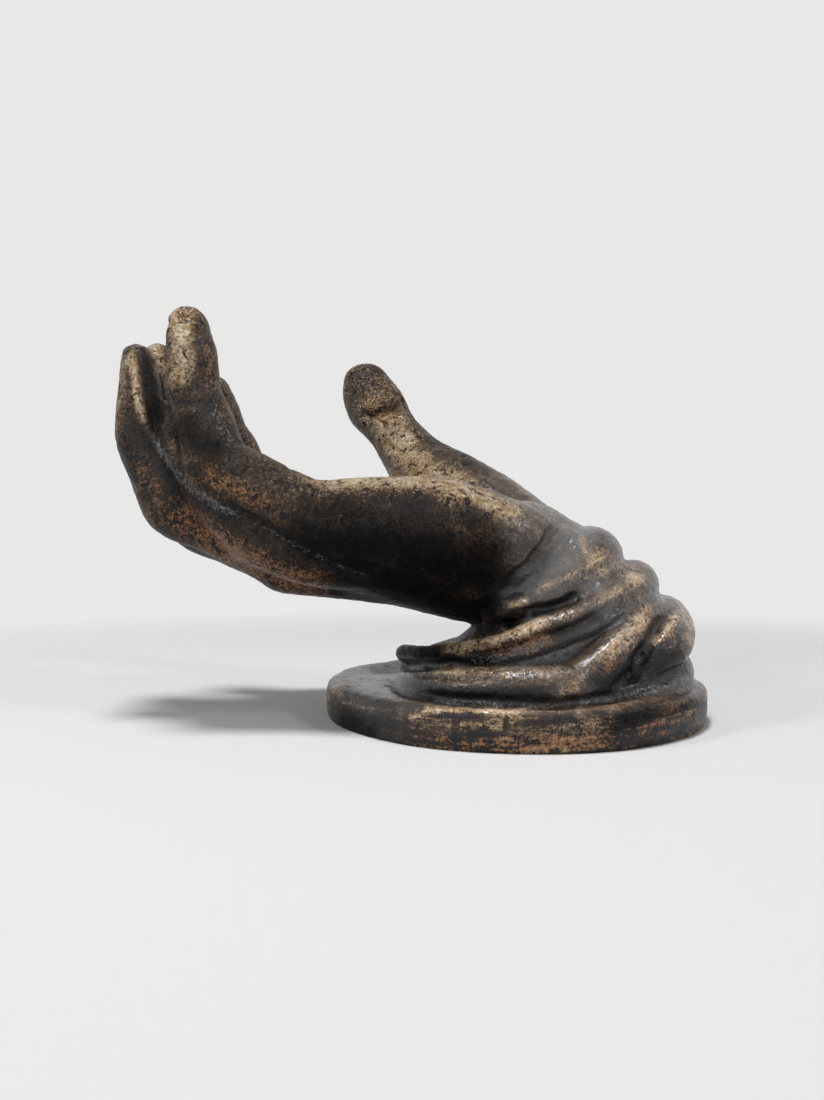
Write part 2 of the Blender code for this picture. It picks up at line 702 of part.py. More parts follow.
def thumb_nail_moves(points, normals):
    rows = np.array(THUMB_PATH)
    joint, tip = rows[THUMB_JOINT_ROW, :3], rows[-1, :3]
    tip = tip + unit(tip - joint) * rows[-1, 4]
    along = unit(tip - joint)
    across = unit(np.dot(THUMB_SIDE, along) * along - np.array(THUMB_SIDE))
    return nail_moves(points, normals, joint, tip, across, rows[-2, 3])


def work_skin(obj):
    """Creases, folds' fine lines and nails, as moves of the fused skin along its normals."""
    points, normals = skin(obj)
    moves = front_moves(points, normals) + palm_moves(points, normals) + thumb_nail_moves(points, normals)
    for finger in FINGERS.values():
        moves += finger_moves(points, normals, finger)
    obj.data.vertices.foreach_set("co", (points + normals * moves[:, None]).ravel())
    obj.data.update()


def cut_flat(obj):
    """Cuts the casting off at its underside and closes it with one flat face."""
    mesh = bmesh.new()
    mesh.from_mesh(obj.data)
    geometry = mesh.verts[:] + mesh.edges[:] + mesh.faces[:]
    cut = bmesh.ops.bisect_plane(
        mesh, geom=geometry, dist=1e-4, plane_co=(0, 0, UNDERSIDE), plane_no=(0, 0, 1), clear_inner=True
    )
    rim = [e for e in cut["geom_cut"] if isinstance(e, bmesh.types.BMEdge)]
    bmesh.ops.holes_fill(mesh, edges=rim, sides=0)
    bmesh.ops.recalc_face_normals(mesh, faces=mesh.faces)
    mesh.to_mesh(obj.data)
    mesh.free()


def to_own_frame(obj):
    """Moves the origin from the tables' zero to the centre of the underside, and turns millimetres into metres."""
    points, _ = skin(obj)
    points -= (*BASE_CENTRE, UNDERSIDE)
    obj.data.vertices.foreach_set("co", (points * MM).ravel())
    obj.data.update()


def reduce(obj, triangles):
    obj.data.calc_loop_triangles()
    count = len(obj.data.loop_triangles)
    if count <= triangles:
        return
    decimate = obj.modifiers.new("reduce", "DECIMATE")
    decimate.ratio = triangles / count
    decimate.use_collapse_triangulate = True
    obj.data = evaluated_mesh(obj)
    obj.modifiers.clear()


def bronze():
    material = bpy.data.materials.new("patinated_bronze")
    material.use_nodes = True
    shader = material.node_tree.nodes["Principled BSDF"]
    shader.inputs["Base Color"].default_value = (0.13, 0.09, 0.055, 1.0)
    shader.inputs["Metallic"].default_value = 0.75
    shader.inputs["Roughness"].default_value = 0.42
    return material


def hand_sculpture():
    obj = bpy.data.objects.new("hand_sculpture", blocked_out())
    bpy.context.scene.collection.objects.link(obj)
    fuse(obj)
    work_skin(obj)
    reduce(obj, FINISHED_TRIANGLES)
    cut_flat(obj)
    to_own_frame(obj)
    obj.data.shade_smooth()
    obj.data.materials.append(bronze())
    return obj


clear_scene()
hand_sculpture()
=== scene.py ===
"""The looks of the hand sculpture candle holder: the casting at a fine pitch, its patina and a pale studio.

The form is blocked out from the same tables as the solid, fused on a finer grid, and given the cast skin's
lumps, pits and grain. What lies high or low on the skin is then kept on its points, where the patina reads
it. Sizes in the tables are millimetres.
"""

import math

import bmesh
import bpy
import numpy as np
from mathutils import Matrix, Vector, noise


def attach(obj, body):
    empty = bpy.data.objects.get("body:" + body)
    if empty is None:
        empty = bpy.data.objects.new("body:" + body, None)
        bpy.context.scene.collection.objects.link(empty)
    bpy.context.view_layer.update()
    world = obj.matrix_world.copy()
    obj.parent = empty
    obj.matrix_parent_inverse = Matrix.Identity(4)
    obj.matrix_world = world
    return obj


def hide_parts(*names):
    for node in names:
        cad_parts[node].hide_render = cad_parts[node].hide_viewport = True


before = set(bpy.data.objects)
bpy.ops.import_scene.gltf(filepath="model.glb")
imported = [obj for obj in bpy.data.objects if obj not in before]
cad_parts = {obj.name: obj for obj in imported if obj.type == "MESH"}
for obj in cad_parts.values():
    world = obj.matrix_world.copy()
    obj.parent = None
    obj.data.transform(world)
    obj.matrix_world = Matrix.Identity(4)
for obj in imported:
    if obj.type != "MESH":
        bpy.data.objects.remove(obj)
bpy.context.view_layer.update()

MM = 0.001

# Base disc
BASE_RADIUS = 60.0
BASE_CENTRE = (-1.1, 0.0)
BASE_TOP = 10.0
UNDERSIDE = -1.2
BASE_EDGE_ROUND = 2.6
BASE_EDGE_STEPS = 4
BASE_SEGMENTS = 96
# The foot's draft as a share of the rim's rounding, up to this share of the base's height
FOOT_DRAFT = 0.3
FOOT_HEIGHT = 0.35
# How far the bodies reach below the underside, where the casting is cut flat
BELOW_THE_CUT = 2.0

# Hand, as knuckles and phalanx lengths. Rise is each bone's angle above the horizontal, towards the tip.
FINGERS = {
    "little": {
        "knuckle": (-57.5, -28.5, 59.0),
        "bones": (35.5, 23.5, 23.0),
        "rises": (29.0, 68.0, 87.0),
        "yaw": 2.0,
        "half_width": 8.3,
        "belly": 1.28,
        "tip": 1.04,
    },
    "ring": {
        "knuckle": (-73.0, -12.5, 49.5),
        "bones": (36.4, 24.0, 30.8),
        "rises": (24.3, 62.0, 88.0),
        "yaw": 0.5,
        "half_width": 8.9,
        "belly": 1.06,
        "tip": 0.82,
    },
    "middle": {
        "knuckle": (-73.5, 6.0, 47.5),
        "bones": (33.5, 34.5, 30.2),
        "rises": (21.0, 67.0, 91.0),
        "yaw": -1.5,
        "half_width": 8.8,
        "belly": 1.0,
        "tip": 0.8,
    },
    "index": {
        "knuckle": (-66.0, 23.5, 48.0),
        "bones": (36.0, 21.5, 18.5),
        "rises": (46.0, 66.0, 76.0),
        "yaw": -3.0,
        "half_width": 8.6,
        "belly": 1.0,
        "tip": 0.84,
    },
}
# Finger sections along the bones: place (0 knuckle, 1 and 2 joints, 3 tip), then half width, back and pad
# depth as shares of the finger's half width
FINGER_SECTIONS = (
    (0.00, 1.14, 1.14, 1.17),
    (0.35, 1.06, 1.06, 1.06),
    (0.65, 1.02, 1.04, 1.02),
    (1.00, 1.06, 1.18, 0.90),
    (1.25, 1.02, 1.06, 0.94),
    (1.55, 0.98, 0.98, 1.00),
    (1.80, 0.95, 0.95, 0.92),
    (2.00, 0.97, 0.95, 0.86),
    (2.25, 0.95, 0.87, 0.92),
    (2.50, 0.92, 0.79, 0.88),
    (2.75, 0.82, 0.72, 0.72),
)
JOINT_ROUNDING = 0.22
FINGER_SQUARENESS = 2.5
# The tip's own share comes in over this span of places, and the belly's goes out over it
TIP_STARTS = 1.8
BELLY_ENDS = 1.6
SHARE_SPAN = 0.6

THUMB_PATH = (
    # x, y, z, half width, back depth, pad depth
    (8.0, 19.0, 52.0, 15.0, 13.0, 14.5),
    (-6.5, 24.5, 62.5, 16.5, 13.0, 17.0),
    (-18.8, 31.5, 72.2, 15.6, 12.5, 16.0),
    (-29.5, 38.5, 81.0, 12.4, 11.5, 12.5),
    (-36.6, 44.5, 90.0, 10.2, 10.0, 10.0),
    (-41.8, 49.0, 97.2, 10.2, 10.0, 5.0),
    (-46.6, 52.5, 105.0, 11.6, 8.8, 9.2),
    (-50.0, 55.5, 112.0, 11.0, 7.2, 9.8),
    (-51.7, 57.8, 117.3, 9.2, 5.6, 7.6),
)
THUMB_SIDE = (-0.9, -0.3, -0.33)

# Palm and wrist, each row as x, y, z, half width (across), back depth, palm depth
PALM_SLAB = (
    (14.0, 1.0, 42.0, 25.0, 16.0, 15.0),
    (4.0, 1.0, 44.0, 26.5, 17.8, 15.5),
    (-12.0, 0.5, 46.0, 29.0, 18.8, 14.5),
    (-34.0, 0.0, 48.5, 34.0, 16.2, 10.5),
    (-56.0, -1.0, 50.5, 36.0, 12.7, 9.0),
    (-74.0, -1.0, 52.5, 33.0, 10.5, 8.0),
)
METACARPALS = {
    "little": (
        (0.0, -15.0, 45.0, 11.0, 11.0, 11.0),
        (-28.0, -24.0, 52.5, 11.0, 11.5, 11.5),
        (-57.0, -29.5, 58.5, 10.0, 10.5, 11.0),
    ),
    "ring": (
        (0.0, -6.0, 43.0, 11.0, 14.0, 11.0),
        (-36.0, -9.5, 46.5, 10.0, 13.2, 9.0),
        (-73.0, -11.5, 49.0, 10.0, 11.3, 10.0),
    ),
    "middle": (
        (0.0, 4.0, 42.5, 11.0, 14.0, 11.0),
        (-36.0, 6.0, 46.0, 10.0, 12.5, 9.0),
        (-75.0, 7.0, 47.5, 10.5, 11.0, 10.0),
    ),
    "index": (
        (0.0, 14.0, 44.0, 11.0, 12.0, 11.0),
        (-34.0, 21.0, 48.5, 10.5, 12.0, 9.0),
        (-69.0, 26.0, 52.0, 10.5, 11.0, 10.5),
    ),
}
# Flesh over the bones, each row as x, y, z, half width, back depth, front depth
FLESH = {
    "outer_palm": (
        (6.0, -15.0, 48.0, 11.0, 12.0, 13.0),
        (-8.0, -20.0, 53.0, 13.5, 14.0, 14.5),
        (-26.0, -24.5, 58.0, 13.5, 15.0, 14.5),
        (-44.0, -26.5, 60.5, 11.8, 14.0, 12.2),
        (-62.0, -28.0, 62.0, 9.0, 12.0, 9.2),
    ),
    "thumb_web": (
        (-8.0, 20.0, 54.0, 13.0, 12.0, 12.0),
        (-22.0, 27.5, 58.0, 11.0, 11.0, 10.0),
        (-36.0, 30.5, 56.5, 9.0, 10.0, 8.0),
        (-50.0, 28.0, 51.5, 8.0, 9.0, 7.0),
    ),
    "little_and_ring_web": (
        (-46.0, -23.0, 49.5, 11.5, 10.5, 9.0),
        (-60.0, -25.0, 50.5, 11.5, 10.8, 9.0),
        (-73.0, -25.0, 53.5, 11.0, 10.0, 9.0),
        (-84.0, -23.5, 59.0, 9.4, 8.6, 8.5),
        (-94.0, -21.5, 68.0, 7.6, 7.2, 7.5),
        (-101.0, -19.5, 77.0, 6.0, 5.6, 6.0),
        (-106.0, -17.0, 86.0, 4.4, 4.2, 4.2),
        (-108.5, -15.0, 95.0, 2.6, 2.6, 2.4),
    ),
    "ring_and_middle_web": (
        (-66.0, -2.5, 48.5, 7.0, 9.0, 9.0),
        (-78.0, -2.5, 51.0, 7.0, 9.0, 9.0),
        (-88.0, -2.5, 55.0, 6.0, 7.5, 8.0),
    ),
    "middle_and_index_web": (
        (-62.0, 15.0, 50.0, 7.0, 9.0, 9.0),
        (-72.0, 15.0, 53.5, 7.0, 9.0, 9.0),
        (-81.0, 15.0, 58.5, 6.0, 7.5, 8.0),
    ),
}

# Cloth heap: level outlines as z, centre x, centre y, half length along x, half width along y
CLOTH_LEVELS = (
    (3.0, 8.5, 0.0, 44.0, 47.5),
    (10.0, 9.5, 0.0, 42.5, 44.5),
    (15.0, 11.0, 0.0, 41.5, 41.0),
    (21.0, 16.0, 0.0, 36.5, 38.0),
    (28.0, 19.0, 0.0, 31.5, 34.5),
    (36.0, 17.5, 0.0, 25.0, 31.5),
    (44.0, 13.0, 0.0, 18.5, 26.0),
    (50.0, 10.0, 1.0, 12.0, 21.0),
)
# The cuff round the wrist, each row as x, y, z, half width, back depth and front depth
SLEEVE = (
    (28.0, 0.5, 18.0, 32.0, 17.0, 20.0),
    (20.0, 0.5, 26.0, 33.0, 18.5, 22.0),
    (13.0, 0.5, 33.5, 32.0, 18.5, 22.5),
    (6.5, 0.5, 40.5, 30.5, 18.0, 23.5),
    (2.0, 0.5, 44.5, 28.0, 16.5, 22.3),
)
# Folds of the cloth, each row as x, y, z, radius
FOLDS = {
    "lower_sweep": (
        (-34.6, -5.0, 11.4, 3.6), (-30.0, -21.0, 11.6, 5.0), (-21.0, -34.5, 12.0, 6.0),
        (-9.0, -41.5, 12.0, 6.8), (3.0, -43.0, 12.3, 7.0), (12.0, -42.5, 13.6, 6.8),
        (19.0, -39.5, 18.2, 6.4), (26.4, -34.5, 24.2, 6.0), (33.4, -26.5, 30.0, 5.6),
        (39.2, -15.0, 33.6, 5.3), (40.5, 0.0, 34.5, 5.2), (38.5, 16.0, 33.0, 5.5),
        (29.0, 30.0, 27.0, 6.0), (12.0, 39.5, 19.0, 6.5), (-10.0, 37.0, 13.5, 6.0),
        (-27.0, 22.0, 11.5, 5.0),
    ),
    "upper_sweep": (
        (-36.2, 1.0, 17.4, 3.2), (-30.0, -13.0, 18.0, 3.9), (-19.0, -22.5, 19.4, 4.4),
        (-8.0, -31.0, 22.4, 4.7), (2.0, -35.0, 26.5, 5.0), (11.0, -35.0, 30.0, 5.2),
        (20.5, -31.0, 33.0, 5.8), (31.0, -20.0, 36.5, 6.8), (37.0, -4.0, 40.0, 8.2),
        (35.5, 12.0, 38.0, 7.2), (22.0, 26.0, 33.5, 6.0), (8.0, 34.0, 26.0, 5.5),
        (-10.0, 31.0, 17.5, 5.0), (-28.0, 14.0, 14.5, 4.0),
    ),
    "shoulder": (
        (31.0, -35.0, 16.0, 3.6), (37.0, -31.5, 20.0, 5.6), (42.0, -24.0, 23.4, 7.3),
        (44.8, -12.0, 26.6, 8.9), (45.7, 2.0, 27.4, 9.4), (44.0, 18.0, 23.0, 8.0),
        (36.5, 32.0, 18.0, 7.0), (20.0, 42.0, 13.5, 5.5),
    ),
    "skirt": (
        (18.0, -39.5, 9.0, 5.5), (33.0, -32.5, 11.0, 6.3), (44.5, -19.0, 13.0, 6.5),
        (48.5, -3.0, 14.0, 6.5), (45.5, 14.0, 13.0, 6.6), (35.0, 31.0, 11.0, 6.5),
    ),
    "hem_end": (
        (2.0, -43.0, 8.5, 3.4), (10.5, -43.8, 9.2, 3.7), (16.5, -42.0, 10.8, 3.0),
    ),
    "crown": (
        (12.0, -24.0, 38.0, 4.5), (18.0, -21.5, 42.5, 7.6), (22.0, -13.0, 47.0, 9.8),
        (23.5, 0.0, 48.0, 11.0), (20.5, 13.0, 46.5, 9.8), (13.0, 24.0, 40.5, 6.5),
        (2.0, 28.0, 34.0, 4.4),
    ),
    "hem": (
        (-6.5, -21.5, 26.5, 3.0), (-10.0, -22.0, 30.0, 2.8), (-7.5, -24.5, 33.5, 3.2),
        (-2.0, -26.0, 34.5, 3.6),
    ),
}

# Lines worked into the skin: how far they reach to each side, how far they move it (in where negative), and
# the points they pass through. They are x and z on the plane y = 0 as seen from the viewpoint in front.
VIEWPOINT = (-34.0, -276.0, 51.0)
FRONT_LINES = {
    "thumb_joint": (3.4, -1.7, ((-50.5, 93.5), (-46.0, 96.0), (-41.5, 98.0), (-36.0, 99.0))),
    "thumb_root": (2.6, -0.8, ((-40.0, 79.0), (-34.0, 83.5), (-27.0, 86.0), (-21.0, 85.5))),
    "between_little_and_ring": (
        1.9, -0.8,
        (
            (-112.9, 103.0), (-112.9, 97.5), (-110.7, 90.6), (-106.8, 81.7),
            (-102.2, 72.8), (-94.4, 67.3), (-87.6, 62.7), (-79.8, 58.8),
            (-69.7, 52.0), (-59.7, 47.1), (-49.6, 43.2),
        ),
    ),
    "ring_finger_ridge": (
        2.4, 0.8,
        ((-124.9, 116.0), (-123.3, 107.2), (-122.3, 99.1), (-119.5, 90.5), (-114.5, 82.0)),
    ),
    "beside_the_ring_finger": (
        3.0, -1.0,
        ((-119.1, 116.3), (-120.1, 111.1), (-118.4, 99.1), (-115.2, 90.0)),
    ),
    "along_the_back_of_the_hand": (3.4, -0.9, ((-56.0, 46.5), (-38.0, 42.0), (-25.0, 38.5), (-15.0, 35.0))),
    "under_the_palm_edge": (
        6.0, -1.3,
        ((-64.0, 65.0), (-48.0, 65.0), (-35.0, 65.5), (-22.0, 63.5), (-8.0, 58.0)),
    ),
    "cuff_edge": (
        2.4, -1.3,
        (
            (13.5, 60.0), (11.5, 57.0), (9.5, 53.0), (7.0, 49.5),
            (4.0, 46.0), (0.5, 43.5), (-2.0, 40.5), (-3.0, 37.0),
        ),
    ),
    "cuff_slot": (2.4, -1.8, ((-3.0, 30.0), (7.0, 31.5), (15.0, 33.5), (21.0, 37.0))),
    "between_the_sweeps": (
        3.8, -2.0,
        (
            (-12.0, 17.5), (-5.0, 18.2), (5.0, 20.8), (12.0, 23.0), (19.0, 25.2),
            (24.7, 28.0), (31.0, 32.5), (37.0, 36.5), (42.0, 39.5),
        ),
    ),
    "bunch_roll": (2.6, -2.2, ((-50.0, 12.6), (-41.0, 13.2), (-34.0, 13.6), (-26.0, 14.0), (-14.0, 14.4))),
    "bunch_top_fold": (1.7, -1.1, ((-37.0, 18.8), (-28.0, 19.0), (-18.0, 19.4), (-4.0, 21.4))),
    "bunch_upper_fold": (1.7, -1.1, ((-40.0, 17.0), (-28.0, 17.0), (-14.0, 17.3), (3.0, 18.6))),
    "bunch_lower_fold": (1.6, -0.9, ((-33.0, 10.6), (-20.0, 9.6), (-4.0, 9.0))),
    "crown_notch": (3.0, -0.9, ((22.0, 42.0), (28.0, 45.0), (33.5, 48.0), (37.0, 50.0))),
    "shoulder_notch": (3.0, -0.8, ((43.0, 33.0), (46.5, 36.0), (50.0, 38.5))),
    "shoulder_valley": (3.4, -1.2, ((38.0, 14.0), (42.0, 18.5), (44.5, 23.5), (47.0, 30.0))),
    "shoulder_ridge": (3.2, 1.0, ((43.5, 18.5), (47.0, 21.5), (50.5, 25.5), (54.0, 31.0))),
    "hem_edge": (
        2.4, -1.9,
        ((-42.0, 8.5), (-36.0, 5.0), (-28.2, 3.4), (-11.9, 2.0), (4.3, 1.2), (14.7, 1.2), (22.0, 1.8)),
    ),
    "skirt_edge": (2.6, -1.2, ((17.0, 1.4), (27.0, 2.3), (36.0, 4.0), (46.0, 7.6), (56.0, 12.4))),
    "below_the_sweep": (9.0, -1.2, ((20.0, 7.0), (33.5, 10.5), (45.0, 14.5), (55.0, 17.0))),
}
LINE_FADE = 0.22
# Skin that turns away from the viewpoint takes less of a line: gain and floor of the turn's cosine
FACING_GAIN = 2.5
FACING_FLOOR = 0.4
# Creases of the palm, as x and y on skin that faces up
PALM_LINES = {
    "life": (3.0, -0.8, ((-52.0, 20.0), (-40.0, 12.0), (-27.0, 5.0), (-14.0, 3.0), (-4.0, 4.5))),
    "head": (2.4, -0.6, ((-53.0, 18.0), (-46.0, 8.0), (-38.0, -4.0), (-30.0, -14.0))),
    "heart": (2.4, -0.6, ((-66.0, 8.0), (-61.0, -3.0), (-54.0, -13.0), (-48.0, -23.0))),
}
PALM_LEVEL = 46.0
# Creases across a finger, each as its place, how far it reaches, how far it moves the skin and its side
FINGER_CREASES = (
    (0.50, 1.8, -0.45, "pad"),
    (0.96, 1.6, -0.35, "pad"),
    (1.06, 1.6, -0.35, "pad"),
    (2.00, 1.7, -0.45, "pad"),
    (0.90, 1.5, -0.30, "back"),
    (1.00, 1.5, -0.40, "back"),
    (1.10, 1.5, -0.30, "back"),
    (1.99, 1.5, -0.30, "back"),
)
CREASE_SWEEP = math.radians(52.0)
CREASE_POINTS = 7
CREASE_STEP = 0.05
# A nail as shares: where its root and end lie along the last bone, and its half width of the finger's
NAIL_ROOT = 0.40
NAIL_END = 0.86
NAIL_HALF = 0.62
NAIL_SINK = 1.1
NAIL_SIDE_SLOPE = 0.2
NAIL_ROOT_SLOPE = 0.15
NAIL_REACH = 1.6
NAIL_FACING = 0.2
# The row of the thumb's path that is its last joint
THUMB_JOINT_ROW = 5

# How fine the casting is worked. Softness is an area, so the form is the solid's at any pitch.
VOXEL = 0.62
SOFTNESS = 7.5
HAND_SOFTNESS = 17.5
# The hand lies on this side of the cuff's mouth
CUFF_MOUTH = (0.0, 0.0, 43.5)
OUT_OF_CUFF = (-0.75, 0.0, 0.66)
FINISHED_TRIANGLES = 190000
RING_POINTS = 28
SPAN_STEPS = 6
CAP_STEPS = 5
LINE_STEPS = 12
# A section's roundness: 2 is an ellipse, and more is squarer
LIMB_SQUARENESS = 2.2

# The cast skin's unevenness, as wavelength and depth
SKIN_LUMPS = ((16.0, 0.35), (6.0, 0.16), (2.6, 0.12), (1.5, 0.11))
FINEST_LUMP = 2.5
LUMP_SHIFT = (3.1, 7.7, 1.3)
PIT_SEED = 11
PIT_COUNT = 900
PIT_REACH = (0.45, 1.0)
PIT_DEPTH = (0.10, 0.40)
# Larger casting pits, placed as seen from the front, each as x, z, reach and depth
LARGE_PITS = (
    (17.9, 54.0, 1.0, 0.9),
    (19.6, 53.4, 0.8, 0.8),
    (18.8, 52.2, 0.7, 0.7),
)
# The height of grain, and of a fold above the skin round it, that counts as full
GRAIN_HEIGHT = 0.7
FOLD_SPREAD = 60.0
FOLD_HEIGHT = 1.3

# The photograph's focal length and its size, in pixels
FOCAL_PIXELS = 850.0
IMAGE_SIZE = (824.0, 1100.0)

# Patina laid on in strokes where the photograph shows it, some of them painted shade, highlights and sheen:
# how far each stroke reaches to each side, its strength, and its path as places read off the photograph,
# each as column and row in pixels
WORN_STROKES = {
    "palm_edge": (
        5.5, 1.0,
        ((300, 480), (340, 480), (390, 478), (430, 482), (470, 492), (505, 508), (530, 522)),
    ),
    "little_finger_tip": (6.0, 1.0, ((181, 304), (184, 330), (184, 356), (183, 388))),
    "little_finger_streak": (2.0, 0.9, ((193, 342), (194, 362), (190, 382))),
    "ring_finger_back": (4.0, 0.5, ((126, 350), (120, 380), (118, 410), (118, 445))),
    "ring_finger_ridge": (2.6, 1.0, ((132, 350), (137, 377), (140, 402), (146, 428))),
    "middle_finger_tip": (3.5, 1.0, ((152, 344), (158, 354), (163, 378))),
    "lower_roll_patch": (3.0, 0.5, ((430, 668), (452, 671), (474, 672))),
    "sweep_crest": (3.6, 1.0, ((440, 652), (478, 645), (510, 636), (537, 624), (553, 616))),
    "crown_face": (8.0, 0.6, ((588, 545), (600, 565), (612, 585), (622, 602))),
    "bulge": (5.5, 0.7, ((608, 552), (630, 572), (642, 588))),
    "lower_sweep": (3.2, 0.30, ((436, 667), (470, 675), (516, 674), (556, 675))),
    "hem_corner": (3.0, 0.6, ((554, 702), (566, 694), (582, 682))),
    "rise": (2.4, 0.6, ((580, 682), (605, 655), (628, 630), (650, 602))),
    "rise_flank": (3.0, 0.5, ((602, 668), (628, 640), (648, 614))),
    "shoulder": (2.8, 1.0, ((652, 644), (666, 630), (680, 612))),
    "right_lobe": (5.0, 0.3, ((682, 592), (690, 620), (689, 652))),
    "thumb": (11.0, 0.9, ((368, 388), (390, 430), (430, 470), (480, 500))),
    "cuff_tear": (2.6, 0.9, ((508, 604), (518, 606), (532, 598))),
    "cuff_streak": (2.0, 0.7, ((534, 594), (556, 582), (588, 570))),
    "cuff_spot": (2.2, 0.9, ((582, 536), (585, 545), (587, 556))),
    "base_edge": (2.0, 0.9, ((400, 716), (440, 711), (500, 710), (566, 707))),
    "base_side": (3.0, 0.5, ((392, 724), (430, 727), (490, 727), (540, 724))),
    "base_edge_right": (1.6, 0.8, ((556, 709), (610, 704), (665, 697), (706, 680))),
}
COPPER_STROKES = {
    "ring_finger_underside": (8.0, 1.0, ((155, 500), (195, 525), (240, 555), (290, 578), (340, 588))),
    "little_finger_root": (6.0, 0.9, ((200, 464), (222, 482), (250, 495), (280, 508))),
    "little_finger_side": (4.0, 0.7, ((210, 340), (214, 368), (212, 394))),
    "ring_finger_outside": (5.0, 0.5, ((136, 445), (148, 478), (166, 502))),
    "sweep_flank": (3.0, 1.0, ((490, 654), (520, 646), (556, 635))),
    "rise_flank": (4.0, 0.9, ((596, 676), (622, 652), (645, 622), (658, 598))),
    "crown": (6.0, 0.4, ((586, 588), (610, 600), (630, 590))),
    "shoulder_flank": (3.0, 0.6, ((664, 646), (682, 618))),
    "base_rim": (4.0, 1.0, ((390, 736), (470, 744), (540, 744), (620, 738), (690, 720))),
}
# Painted shade: dark strokes on the side of and under the hand, beside the fingers, in hollows and folds and
# on the base, where shade falls
PAINTED_SHADE_STROKES = {
    "side_of_the_hand": (17.0, 1.0, ((285, 525), (355, 545), (410, 555), (465, 560), (520, 545))),
    "under_the_hand": (9.0, 1.0, ((350, 572), (420, 590), (470, 610), (510, 600))),
    "side_of_the_little_finger": (6.0, 0.7, ((176, 420), (200, 440), (228, 458))),
    "beside_the_ring_finger": (4.0, 0.7, ((152, 352), (156, 390), (158, 424))),
    "slot": (3.0, 1.0, ((510, 614), (535, 612), (556, 605))),
    "slot_hollow": (4.5, 1.0, ((546, 630), (572, 632), (592, 622), (630, 606))),
    "fold_shadow": (2.6, 0.9, ((418, 655), (450, 657), (470, 661), (506, 660))),
    "right_hollow": (9.0, 1.0, ((586, 684), (625, 676), (660, 664), (694, 648))),
    "bunch": (5.0, 0.8, ((388, 655), (420, 655), (450, 655))),
    "lower_roll_foot": (3.4, 1.0, ((400, 682), (440, 693), (480, 693), (520, 692), (560, 690))),
    "thumb_joint": (2.6, 0.9, ((368, 418), (384, 412), (400, 407))),
    "base_side_left": (5.0, 0.7, ((336, 716), (360, 728), (384, 734))),
    "base_top": (4.0, 0.8, ((338, 688), (380, 700), (430, 706))),
    "base_side": (6.0, 0.8, ((600, 728), (650, 712), (700, 698))),
}
# Pale grey dust that is also painted highlight: glints, ledges and seams lit from above, and sheen on the
# cloth and the base top
DUST_AND_HIGHLIGHT_STROKES = {
    "ring_finger_ledge": (2.4, 1.0, ((150, 428), (166, 455), (192, 487), (218, 505), (256, 522))),
    "seam": (1.5, 0.7, ((251, 519), (290, 541), (333, 562), (370, 577))),
    "palm_rim": (1.8, 0.5, ((234, 450), (290, 478), (310, 493), (345, 490))),
    "little_finger_edge": (3.0, 0.6, ((212, 400), (225, 430), (244, 455))),
    "valley": (3.0, 0.8, ((460, 663), (510, 660), (550, 655), (586, 648))),
    "rise": (2.2, 0.8, ((570, 688), (598, 660), (622, 634), (650, 602))),
    "cloth_foot": (1.8, 0.8, ((425, 702), (480, 703), (530, 706), (566, 703))),
    "base_top_right": (3.0, 0.7, ((570, 703), (625, 696), (665, 686), (696, 669))),
    "palm_edge_glint": (2.2, 0.8, ((418, 488), (432, 490), (446, 494))),
}
# Polish, whose strokes also lay a painted sheen of pale grey into the colour on the cuff, the cloth and the
# base top
POLISH_AND_SHEEN_STROKES = {
    "cuff": (9.0, 1.0, ((578, 520), (575, 545), (560, 570), (535, 590), (510, 612))),
    "bulge": (6.0, 0.8, ((590, 575), (610, 600), (600, 620))),
    "valley": (6.0, 0.8, ((490, 665), (535, 662), (580, 640), (605, 618))),
    "base_top": (8.0, 0.5, ((350, 690), (385, 698), (430, 704))),
    "shoulder": (6.0, 0.5, ((655, 592), (684, 600), (692, 630))),
}
# The kinds of stroke, by the mark that each leaves on the points
STROKES = {
    "worn": WORN_STROKES,
    "copper": COPPER_STROKES,
    "painted_shade": PAINTED_SHADE_STROKES,
    "dust_and_painted_highlight": DUST_AND_HIGHLIGHT_STROKES,
    "polish_and_painted_sheen": POLISH_AND_SHEEN_STROKES,
}


def smooth_rows(rows, steps=SPAN_STEPS):
    """Rows of numbers, filled in along a Catmull-Rom curve through all of them."""
    table = np.array(rows, float)
    ends = np.vstack([2 * table[0] - table[1], table, 2 * table[-1] - table[-2]])
    filled = []
    for i in range(len(table) - 1):
        a, b, c, d = ends[i : i + 4]
        for t in np.arange(steps) / steps:
            filled.append(
                0.5
                * (
                    2 * b
                    + (c - a) * t
                    + (2 * a - 5 * b + 4 * c - d) * t**2
                    + (3 * b - a - 3 * c + d) * t**3
                )
            )
    filled.append(table[-1])
    return np.array(filled)


def unit(v):
    v = np.asarray(v, float)
    return v / max(np.linalg.norm(v), 1e-9)


def join_rings(mesh, rings):
    """Faces from each ring of points to the next."""
    for low, high in zip(rings, rings[1:]):
        for i in range(len(low)):
            j = (i + 1) % len(low)
            mesh.faces.new((low[i], low[j], high[j], high[i]))


